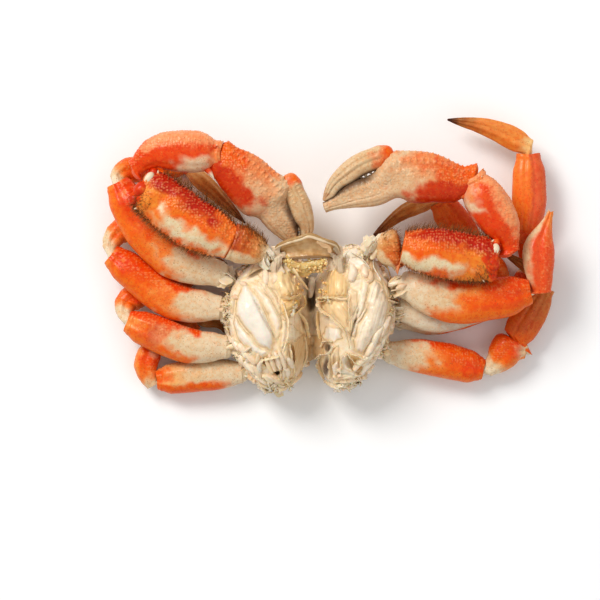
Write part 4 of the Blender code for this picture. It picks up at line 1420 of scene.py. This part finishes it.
class CRAB_OT_core(bpy.types.Operator):
    """Make the body's core, with pockets and fibres, from its solid"""

    bl_idname = "crab.core"
    bl_label = "Body core"

    def execute(self, context):
        settings = context.scene.crab_body
        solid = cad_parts["body"]
        mesh = solid.data.copy()
        lump = bpy.data.objects.new("body_core", mesh)
        context.scene.collection.objects.link(lump)
        remesh = lump.modifiers.new("fine", "REMESH")
        remesh.mode = "VOXEL"
        remesh.voxel_size = settings.grain_size
        graph = context.evaluated_depsgraph_get()
        fine = bpy.data.meshes.new_from_object(lump.evaluated_get(graph))
        bpy.data.objects.remove(lump)
        count = len(fine.vertices)
        points, outward = np.empty((2, count * 3))
        fine.vertices.foreach_get("co", points)
        fine.vertices.foreach_get("normal", outward)
        points = points.reshape(-1, 3)
        outward = self.calmed(fine, outward.reshape(-1, 3))
        top = ease(outward[:, 2], 0.1, 0.8)
        paint = np.zeros((count, 3))
        paint[:, 0] = 0.3 + 0.3 * wobble(points, 6 * MM, settings.seed)
        place = np.stack([points[:, 2] / (40 * MM), np.arctan2(points[:, 1] + 0.031, points[:, 0] + 0.009),
                          np.full(count, 0.45)], axis=1)
        sink = settings.core_depth / MM + self.pocket_depths(points / MM, paint)
        sink = sink * top - self.raise_facets(points / MM, paint, place, settings.seed)
        grain = 0.3 * rough(points, 4.5 * MM, settings.seed + 1)
        grain += 0.14 * rough(points, 1.6 * MM, settings.seed + 2)
        floor_share = ease(points[:, 2], 0.0, 1.5 * MM)
        moved = points + outward * ((grain * floor_share) * MM)[:, None]
        moved[:, 2] -= sink * top * MM
        moved -= outward * (0.9 * (1 - top) * floor_share * MM)[:, None]
        moved[:, 2] = np.clip(moved[:, 2], points[:, 2].min(), None)
        faces = np.empty(len(fine.loops), np.int32)
        fine.loops.foreach_get("vertex_index", faces)
        shades = ((230, 194, 146), (242, 214, 172), (248, 232, 204))
        material = flesh_look("core_meat", shades, 0.32, 0.25)
        core = new_piece("body_core", moved, [faces.reshape(-1, 4)], material,
                         {"place": place, "paint": paint})
        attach(core, "root")
        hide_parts("body")
        bpy.data.meshes.remove(fine)
        return {"FINISHED"}

    @staticmethod
    def pocket_depths(points, paint):
        """How far the pockets sink the core in millimetres. It also paints their insides: painted shade, and
        an amber tone.
        """
        sink = np.zeros(len(points))
        for (x, y), long, wide, turn, depth, dark, warm in POCKETS:
            turn = math.radians(turn)
            dx, dy = points[:, 0] - x, points[:, 1] - y
            u = (dx * math.cos(turn) + dy * math.sin(turn)) / long
            v = (dy * math.cos(turn) - dx * math.sin(turn)) / wide
            inside = (1 - ease(np.sqrt(u * u + v * v), 0.45, 1.15)) * ease(points[:, 2], 10, 16)
            sink += depth * inside
            # painted shade in the pocket's hollow
            paint[:, 1] = np.maximum(paint[:, 1], dark * inside)
            paint[:, 2] = np.maximum(paint[:, 2], warm * inside)
        return sink

    @staticmethod
    def raise_facets(points, paint, place, seed):
        """How far the facets lift the core in millimetres. It also paints the facets, painted shade in their
        creases and splits, and an amber tone along the creases.
        """
        lift = np.zeros(len(points))
        crease = np.full(len(points), 9.0)
        bends = [1.1 * wobble(points, 7.0, seed + k) + 0.45 * wobble(points, 2.2, seed + k)
                 for k in (21, 22)]
        bent = points[:, :2] + np.stack(bends, axis=1)
        for number, (outline, height, pale, warm, dark) in enumerate(FACETS):
            outline = np.array(outline, float)
            depth = inside_depth(bent, outline)
            crease = np.minimum(crease, np.abs(depth))
            middle = outline.mean(axis=0)
            way = np.linalg.svd(outline - middle, full_matrices=False)[2][0]
            along = (points[:, :2] - middle) @ way
            beside = (points[:, :2] - middle) @ np.array((-way[1], way[0]))
            weave = np.stack([along * 0.11, beside * 0.9, np.full(len(along), number * 7.3)], axis=1)
            strands = wobble(weave, 1.0, seed + number) + 0.7 * wobble(weave * (1.3, 2.2, 1), 1.0, seed)
            inside = ease(depth, -0.1, 0.9)
            shape = (0.5 * ease(depth, -0.3, 1.7) + 0.5 * ease(depth, 0, 5.0)) * height
            split = 1 - ease(np.abs(wobble(weave * (0.8, 0.75, 1), 1.0, seed + 3 * number)), 0.0, 0.14)
            split = split * inside * (1 - 0.8 * pale)
            shape = shape + (0.42 - 0.26 * pale) * strands * inside - 0.6 * split
            lift = np.maximum(lift, shape * (depth > -0.3))
            for column, value in enumerate((pale, dark, warm)):
                paint[:, column] += (value - paint[:, column]) * inside
            # painted shade in the splits between strands
            paint[:, 1] = np.maximum(paint[:, 1], 0.22 * split)
            held = depth > 0
            place[held] = np.stack([along / 25, beside / 22, np.full(len(along), (number * 0.37) % 1)],
                                   axis=1)[held]
        raised = ease(wobble(points, 7.0, seed + 5), -0.1, 0.3)
        edge = 1 - ease(crease, 0.0, 0.75)
        lift = lift + 0.7 * raised * (1 - ease(crease, 0.1, 0.55))
        paint[:, 0] = np.maximum(paint[:, 0], 0.5 * raised * edge)
        # painted shade along the creases between facets
        paint[:, 1] = np.maximum(paint[:, 1], 0.4 * (1 - raised) * (1 - ease(crease, 0.0, 0.45)))
        paint[:, 2] = np.maximum(paint[:, 2], 0.4 * (1 - ease(crease, 0.1, 1.4)))
        return lift

    @staticmethod
    def calmed(mesh, outward):
        """The directions out of a mesh, averaged with their neighbours."""
        ends = np.empty(len(mesh.edges) * 2, np.int32)
        mesh.edges.foreach_get("vertices", ends)
        a, b = ends.reshape(-1, 2).T
        for _ in range(6):
            total = outward.copy()
            np.add.at(total, a, outward[b])
            np.add.at(total, b, outward[a])
            outward = unit(total)
        return outward


class CRAB_OT_meat(bpy.types.Operator):
    """Lay the white muscles and the thinner bundles over the core and down its sides"""

    bl_idname = "crab.meat"
    bl_label = "Body meat"

    def execute(self, context):
        seed = context.scene.crab_body.seed
        ground = Ground()
        rng = np.random.default_rng(seed)
        heap = Heap()
        for row, (first, last, count, wide, rise, pale, warm) in enumerate(MEAT_FANS):
            for k, share in enumerate(np.linspace(0, 1, count)):
                ends = np.array(first) * (1 - share) + np.array(last) * share + rng.normal(0, 0.4, (2, 2))
                middle = ends.mean(axis=0) + rng.normal(0, 0.5, 2)
                line, outward = ground.lay([ends[0], middle, ends[1]], rise - 0.9)
                bundle(heap, line, outward, (0.7 * wide, wide, 0.8 * wide), 1.9, rng.uniform(0.1, 0.7),
                       (pale * rng.uniform(0.4, 1.4), 0.0, warm * rng.uniform(0, 2)), 60 + 10 * row + k)
        self.lay_strands(heap, ground, rng)
        self.line_sides(heap, ground, rng)
        shades = ((226, 184, 144), (240, 212, 178), (247, 230, 204))
        material = flesh_look("white_meat", shades, 0.3, 0.25)
        piece = heap.piece("body_meat", material)
        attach(piece, "root")
        return {"FINISHED"}

    @staticmethod
    def lay_strands(heap, ground, rng):
        """Many thin strands that fan out over both halves of the body, to fill between the big muscles."""
        for half, (hub_x, hub_y) in enumerate(((-22.0, -24.0), (6.0, -24.0))):
            for k in range(30):
                way = rng.uniform(0, 2 * math.pi)
                near, far = sorted(rng.uniform(17, 29, 2))
                far = max(far, near + 5)
                stretch = np.array((0.75, 1.35))
                bends = ((near, 0), ((near + far) / 2, rng.normal(0, 0.08)), (far, 0.05))
                hub = np.array((hub_x - 4 + 8 * half, hub_y - 7))
                ends = [hub + np.array((math.cos(way + bend), math.sin(way + bend))) * reach * stretch
                        for reach, bend in bends]
                across = np.array(ends)[:, 0]
                crosses = across.max() > -15 if half == 0 else across.min() < -1
                if crosses or ground.height(np.array(ends) * MM).min() < 14 * MM:
                    continue
                line, outward = ground.lay(ends, rng.uniform(-1.6, -0.7))
                bundle(heap, line, outward, (0.8, 1.5, 0.9), 1.5, rng.uniform(),
                       (rng.uniform(0, 0.5), rng.uniform(0, 0.12), rng.uniform(0, 0.35)),
                       300 + 200 * half + k)

    @staticmethod
    def line_sides(heap, ground, rng):
        """Bundles down the outside of the body, where the legs come out."""
        centre = np.array((-9.0, -31.0, 18.0)) * MM
        for k in range(110):
            way = rng.uniform(0, 2 * math.pi)
            top = rng.uniform(13, 27)
            heights = np.linspace(top, max(2.5, top - rng.uniform(9, 22)), 6)
            lean = rng.normal(0, 0.025)
            line, outward = [], []
            for step, height in enumerate(heights):
                turn = way + lean * step
                spoke = np.array((math.cos(turn), math.sin(turn), 0.0))
                start = np.array((centre[0], centre[1], height * MM)) + spoke * 70 * MM
                place, normal, _, _ = ground.tree.ray_cast(Vector(start), Vector(-spoke))
                if place is not None:
                    if line and np.linalg.norm(np.array(place) - line[-1]) > 9 * MM:
                        break
                    line.append(np.array(place) - np.array(normal) * rng.uniform(0.3, 1.0) * MM)
                    outward.append(np.array(normal))
            if len(line) < 4:
                continue
            outward = smoothed(outward, 2)
            bundle(heap, smoothed(line, 1), outward, (1.0, rng.uniform(1.4, 2.4), 1.2), 1.5,
                   rng.uniform(0, 0.8), (rng.uniform(0.1, 0.6), 0.0, rng.uniform(0, 0.35)), 800 + k)


# The line of yellow fat behind the mouth's arch, in millimetres.
FAT_LINE = ((-20.5, -0.5, 33.0), (-18.5, -3.2, 34.5), (-15.0, -5.0, 34.0), (-11.5, -5.2, 33.5),
            (-8.0, -4.0, 33.5), (-4.5, -3.8, 34.0), (-2.0, -1.6, 34.0))


class CRAB_OT_joints(bpy.types.Operator):
    """Join each limb to the body with white meat and torn rings of thin shell"""

    bl_idname = "crab.joints"
    bl_label = "Body joints"

    def execute(self, context):
        rng = np.random.default_rng(context.scene.crab_body.seed + 5)
        low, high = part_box("body")
        centre = (np.array(low) + np.array(high)) / 2
        heap = Heap()
        for number, limb in enumerate((*LEGS, *CLAWS)):
            path = TRACED[limb]
            start, wide = path.line[0], path.radii[0].mean()
            inward = centre - start
            inward[2] = 0.15 * inward[2]
            inward = unit(inward)
            side = unit(np.cross(UP, inward))
            for k in range(16):
                turn = rng.uniform(0, 2 * math.pi)
                spoke = side * math.cos(turn) + UP * math.sin(turn)
                root = start + spoke * wide * rng.uniform(0.2, 0.7) - inward * rng.uniform(0, 1.5) * MM
                tip = root + inward * rng.uniform(5, 10) * MM + spoke * rng.uniform(-1, 2) * MM
                line = np.array([root, (root + tip) / 2 + spoke * 0.8 * MM, tip])
                if line[:, 2].min() < 1.5 * MM:
                    continue
                if k < 3:
                    bundle(heap, line, np.tile(spoke, (3, 1)), (0.9, rng.uniform(1.2, 1.9), 0.8), 1.1,
                           rng.uniform(), (rng.uniform(0.0, 0.3), 0.0, rng.uniform(0.1, 0.4)),
                           2000 + 20 * number + k)
                else:
                    sheet(heap, line, np.tile(spoke, (3, 1)), -1.4, (1.6, rng.uniform(2.0, 3.4), 1.6),
                          rng.uniform(), (rng.uniform(0.2, 0.8), 0.0, rng.uniform(0, 0.4)),
                          2400 + 20 * number + k, stand=rng.uniform(-30, 50), thick=0.45, rag=0.9, curl=0.6,
                          ripple=0.7)
        shades = ((214, 170, 124), (236, 206, 170), (246, 230, 206))
        material = flesh_look("joint_meat", shades, 0.28, 0.25)
        piece = heap.piece("body_joints", material)
        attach(piece, "root")
        return {"FINISHED"}


class CRAB_OT_membranes(bpy.types.Operator):
    """Lay the amber membranes, the thin walls, the torn flakes and the yellow fat over the meat"""

    bl_idname = "crab.membranes"
    bl_label = "Membranes, flakes and fat"

    def execute(self, context):
        seed = context.scene.crab_body.seed
        ground = Ground()
        rng = np.random.default_rng(seed + 1)
        heap = Heap()
        for row, (spots, low, high, rise, own, pale, warm, stand, curl) in enumerate(PLATES):
            line, outward = ground.lay(spots, rise - 1.0)
            sheet(heap, line, outward, low, high, own, (pale, 0.0, warm), 500 + 5 * row, stand=stand,
                  curl=curl, thick=0.45)
        self.scatter_flakes(heap, ground, rng)
        shades = ((228, 184, 124), (240, 212, 166), (246, 230, 200))
        material = flesh_look("membrane", shades, 0.22, 0.3)
        piece = heap.piece("body_membranes", material)
        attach(piece, "root")
        self.spread_fat(ground, rng)
        return {"FINISHED"}

    @staticmethod
    def spread_fat(ground, rng):
        """Strands and crumbs of fat behind the mouth's arch, and a few crumbs along the trough."""
        crumbs = Heap()
        for strand in range(3):
            line = even((np.array(FAT_LINE) - np.array((0.0, 1.5, 1.6)) * strand) * MM, 40)
            bundle(crumbs, line, np.tile(UP, (40, 1)), (1.2, 2.2, 1.6, 2.4, 1.6, 2.2, 1.0), 1.7,
                   0.3 * strand, (0.1, 0.05, 0.5), 1200 + strand, 0.5)
            for k in range(80):
                place = line[rng.integers(40)] + rng.normal(0, 1, 3) * (1.0, 1.1, 0.5) * MM + UP * 1.2 * MM
                crumb(crumbs, place, rng.uniform(0.4, 1.0) * MM, rng.uniform(),
                      (rng.uniform(0, 0.4), 0.0, rng.uniform(0.1, 0.7)), k + 100 * strand)
        for k in range(26):
            spot = (rng.choice((-16.0, -2.5)) + rng.normal(0, 1.6), rng.uniform(-24, -8))
            place = ground.lay([spot], rng.uniform(-1.0, 1.2))[0]
            crumb(crumbs, place[0], rng.uniform(0.3, 0.8) * MM, rng.uniform(),
                  (rng.uniform(0, 0.4), 0.0, rng.uniform(0.0, 0.6)), k)
        shades = ((214, 156, 66), (232, 184, 96), (244, 218, 156))
        grains = crumbs.piece("body_fat", flesh_look("fat_grains", shades, 0.25, 0.3))
        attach(grains, "root")

    @staticmethod
    def scatter_flakes(heap, ground, rng):
        """Torn flakes: many around the edge and the lower end of each half, fewer elsewhere."""
        # middle, spread across and along, how many, size
        zones = (((-27, -65), (8, 2.6), 60, 3.4), ((15, -64.5), (8, 2.6), 60, 3.4),
                 ((-51, -27), (1.6, 12), 60, 3.2), ((34, -22), (1.6, 12), 60, 3.2),
                 ((-39, -3), (6, 2.0), 36, 3.0), ((20, 0), (7, 2.0), 30, 3.0),
                 ((-45, -50), (3, 5), 30, 2.6), ((30, -47), (3, 5), 30, 2.6), ((-18, -27), (3, 3), 14, 2.6),
                 ((-16, -20), (3, 1.5), 12, 2.4), ((-1, -22), (3, 1.5), 10, 2.4),
                 ((-26, -8), (1.5, 5), 10, 2.2))
        for (x, y), (wide, long), count, size in zones:
            for _ in range(count):
                spot = np.array((rng.normal(x, wide * 0.6), rng.normal(y, long * 0.6)))
                if ground.height(spot[None] * MM)[0] < 9 * MM:
                    continue
                flake(heap, ground, rng, spot, size * rng.uniform(0.6, 1.5), rng.uniform(-0.8, 0.9),
                      rng.uniform(), (rng.uniform(0.1, 0.8), 0.0, rng.uniform(0, 0.5)))


# The mouth's arch: its outer edge, with heights under the highest point, and the low edge of its bowl.
ARCH_EDGE = ((-26.3, 3.0, -8.5), (-24.5, 5.0, -5.5), (-18.5, 7.2, -2.6), (-13.4, 8.6, -0.8),
             (-8.8, 9.9, 0.0), (-1.7, 7.5, -1.2), (4.0, 5.4, -4.0), (6.2, 1.4, -8.5))
BOWL_EDGE = ((-22.5, -1.6, -9.0), (-20.5, -1.8, -7.6), (-17.0, -1.6, -6.6), (-13.0, -1.3, -6.2),
             (-9.0, -1.0, -6.0), (-5.0, -0.9, -6.2), (-1.0, -1.0, -7.0), (3.0, -1.6, -9.0))
# Plates that run down from the arch to the body: points under the highest point, and half-width.
ARCH_FEET = (
    (((-25.6, 4.0, -6.0), (-25.5, -0.5, -8.0), (-24.5, -5.5, -8.0), (-23.0, -9.5, -7.5)), 2.2),
    (((-22.5, 1.5, -8.0), (-21.5, -3.0, -9.0), (-19.0, -8.0, -9.0)), 1.6),
    (((5.0, 4.0, -6.0), (5.4, 0.0, -8.5), (4.6, -4.0, -9.0)), 2.0),
    (((2.0, 1.0, -8.0), (1.5, -3.0, -9.5), (2.4, -7.5, -9.5)), 1.6),
)


def stretch_between(heap, first, second, sag, thick, own, paint, seed):
    """Adds a thin sagging wall between two edges, dark along the second."""
    rings, columns = 110, 26
    a, b = even(first, rings), even(second, rings)
    spread = np.linspace(0, 1, columns)
    flat = a[:, None] * (1 - spread)[None, :, None] + b[:, None] * spread[None, :, None]
    wave = 0.8 * rough(flat.reshape(-1, 3), 5 * MM, seed).reshape(rings, columns)
    wave = -sag * (4 * spread * (1 - spread)) ** 0.8 + wave
    top = flat + UP * (wave * MM)[..., None]
    under = top - UP * thick * MM
    lanes = np.concatenate([spread, spread[::-1]])
    marks = grid_marks(np.linspace(0, 1, rings), lanes * 0.4, own)
    paint = np.broadcast_to(np.asarray(paint, float), (rings, 2 * columns, 3)).copy()
    paint[..., 1] = np.maximum(paint[..., 1], 0.7 * ease(lanes, 0.86, 1.0))
    heap.add_tube(np.concatenate([top, under[:, ::-1]], axis=1), marks, paint)


class CRAB_OT_mouth(bpy.types.Operator):
    """Make the mouth's arch with its bowl, brown rim and folded flap"""

    bl_idname = "crab.mouth"
    bl_label = "Mouth arch"

    def execute(self, context):
        rim_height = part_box("mouth_frame")[1][2] / MM
        crown = np.array((0, 0, rim_height))
        edge = (np.array(ARCH_EDGE) + crown) * MM
        bowl = (np.array(BOWL_EDGE) + crown) * MM
        heap = Heap()
        stretch_between(heap, edge, bowl, 3.0, 0.9, 0.6, (0.0, 0.0, 0.1), 905)
        bundle(heap, bowl + UP * 0.2 * MM, np.tile(UP, (len(bowl), 1)), (0.4, 0.5, 0.4), 0.5, 0.2,
               (0.0, 0.6, 0.1), 904, 0.1)
        bundle(heap, edge, np.tile(UP, (len(edge), 1)), (0.6, 0.9, 0.8, 0.9, 0.8, 0.9, 0.6), 0.7, 0.2,
               (0.0, 0.4, 0.35), 900, 0.1)
        bundle(heap, edge - np.array((0, 0.9, -0.2)) * MM, np.tile(UP, (len(edge), 1)), (0.4, 0.6, 0.5),
               0.5, 0.9, (0.4, 0.0, 0.1), 903, 0.1)
        for number, (spots, across) in enumerate(ARCH_FEET):
            line = (np.array(spots) + crown) * MM
            sheet(heap, line, np.tile((0.0, 0.25, 1.0), (len(line), 1)), -across,
                  (across, 0.7 * across, across), 0.2 + 0.2 * number, (0.6, 0.0, 0.15), 960 + number,
                  thick=0.7, curl=-0.8, rag=0.6, ripple=0.7)
        for foot, turn, seed in (((-24.5, 0.5), -1, 1), ((4.5, 0.2), 1, 2)):
            for k in range(4):
                base = np.array((foot[0] + turn * 0.9 * (k - 1.5), foot[1] - 0.6 * k,
                                 rim_height - 6.0)) * MM
                tip = base + np.array((turn * 1.2, -6.0 - k, -3.0)) * MM
                sheet(heap, np.array([base, (base + tip) / 2 + UP * MM, tip]), np.tile(UP, (3, 1)), -1.2,
                      (0.8, 1.8, 1.0), 0.3, (0.5, 0.0, 0.1), 950 + 10 * seed + k, stand=20 * turn,
                      thick=0.5)
        flap = np.array(((-5.5, 6.6), (-2.5, 5.6), (0.5, 3.6), (1.2, 0.8)))
        flap = np.concatenate([flap, np.full((4, 1), rim_height - 0.3)], axis=1) * MM
        sheet(heap, flap, np.tile(UP, (4, 1)), (-0.6, -1.0), (0.8, 1.4, 0.8), 0.1, (0.15, 0.0, 0.1), 980,
              stand=-25, thick=0.5, curl=0.6, rag=0.7)
        shades = ((182, 132, 78), (206, 162, 108), (226, 192, 144))
        material = flesh_look("arch_shell", shades, 0.45, 0.15)
        piece = heap.piece("mouth_arch", material)
        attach(piece, "root")
        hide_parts("mouth_frame")
        return {"FINISHED"}


class CRAB_PT_panel(bpy.types.Panel):
    """Buttons that build the crab piece by piece"""

    bl_idname = "CRAB_PT_panel"
    bl_label = "Cooked crab"
    bl_space_type = "VIEW_3D"
    bl_region_type = "UI"
    bl_category = "Crab"

    def draw(self, context):
        column = self.layout.column()
        for operator in OPERATORS:
            column.operator(operator.bl_idname)
        for group in SETTINGS:
            settings = getattr(context.scene, group)
            for name in settings.bl_rna.properties.keys():
                if name not in ("rna_type", "name"):
                    column.prop(settings, name)


OPERATORS = (CRAB_OT_stage, CRAB_OT_legs, CRAB_OT_claws, CRAB_OT_core, CRAB_OT_meat, CRAB_OT_joints,
             CRAB_OT_membranes, CRAB_OT_mouth)
SETTINGS = {"crab_stage": StageSettings, "crab_shell": ShellSettings, "crab_body": BodySettings}


def register():
    """Registers the settings, the operators and the panel."""
    for name, group in SETTINGS.items():
        bpy.utils.register_class(group)
        setattr(bpy.types.Scene, name, bpy.props.PointerProperty(type=group))
    for kind in (*OPERATORS, CRAB_PT_panel):
        bpy.utils.register_class(kind)


def unregister():
    """Removes what register added."""
    for kind in (CRAB_PT_panel, *reversed(OPERATORS)):
        bpy.utils.unregister_class(kind)
    for name, group in SETTINGS.items():
        delattr(bpy.types.Scene, name)
        bpy.utils.unregister_class(group)


def main():
    """Builds everything in order."""
    register()
    for operator in OPERATORS:
        area, name = operator.bl_idname.split(".")
        getattr(getattr(bpy.ops, area), name)()


if __name__ == "__main__":
    main()
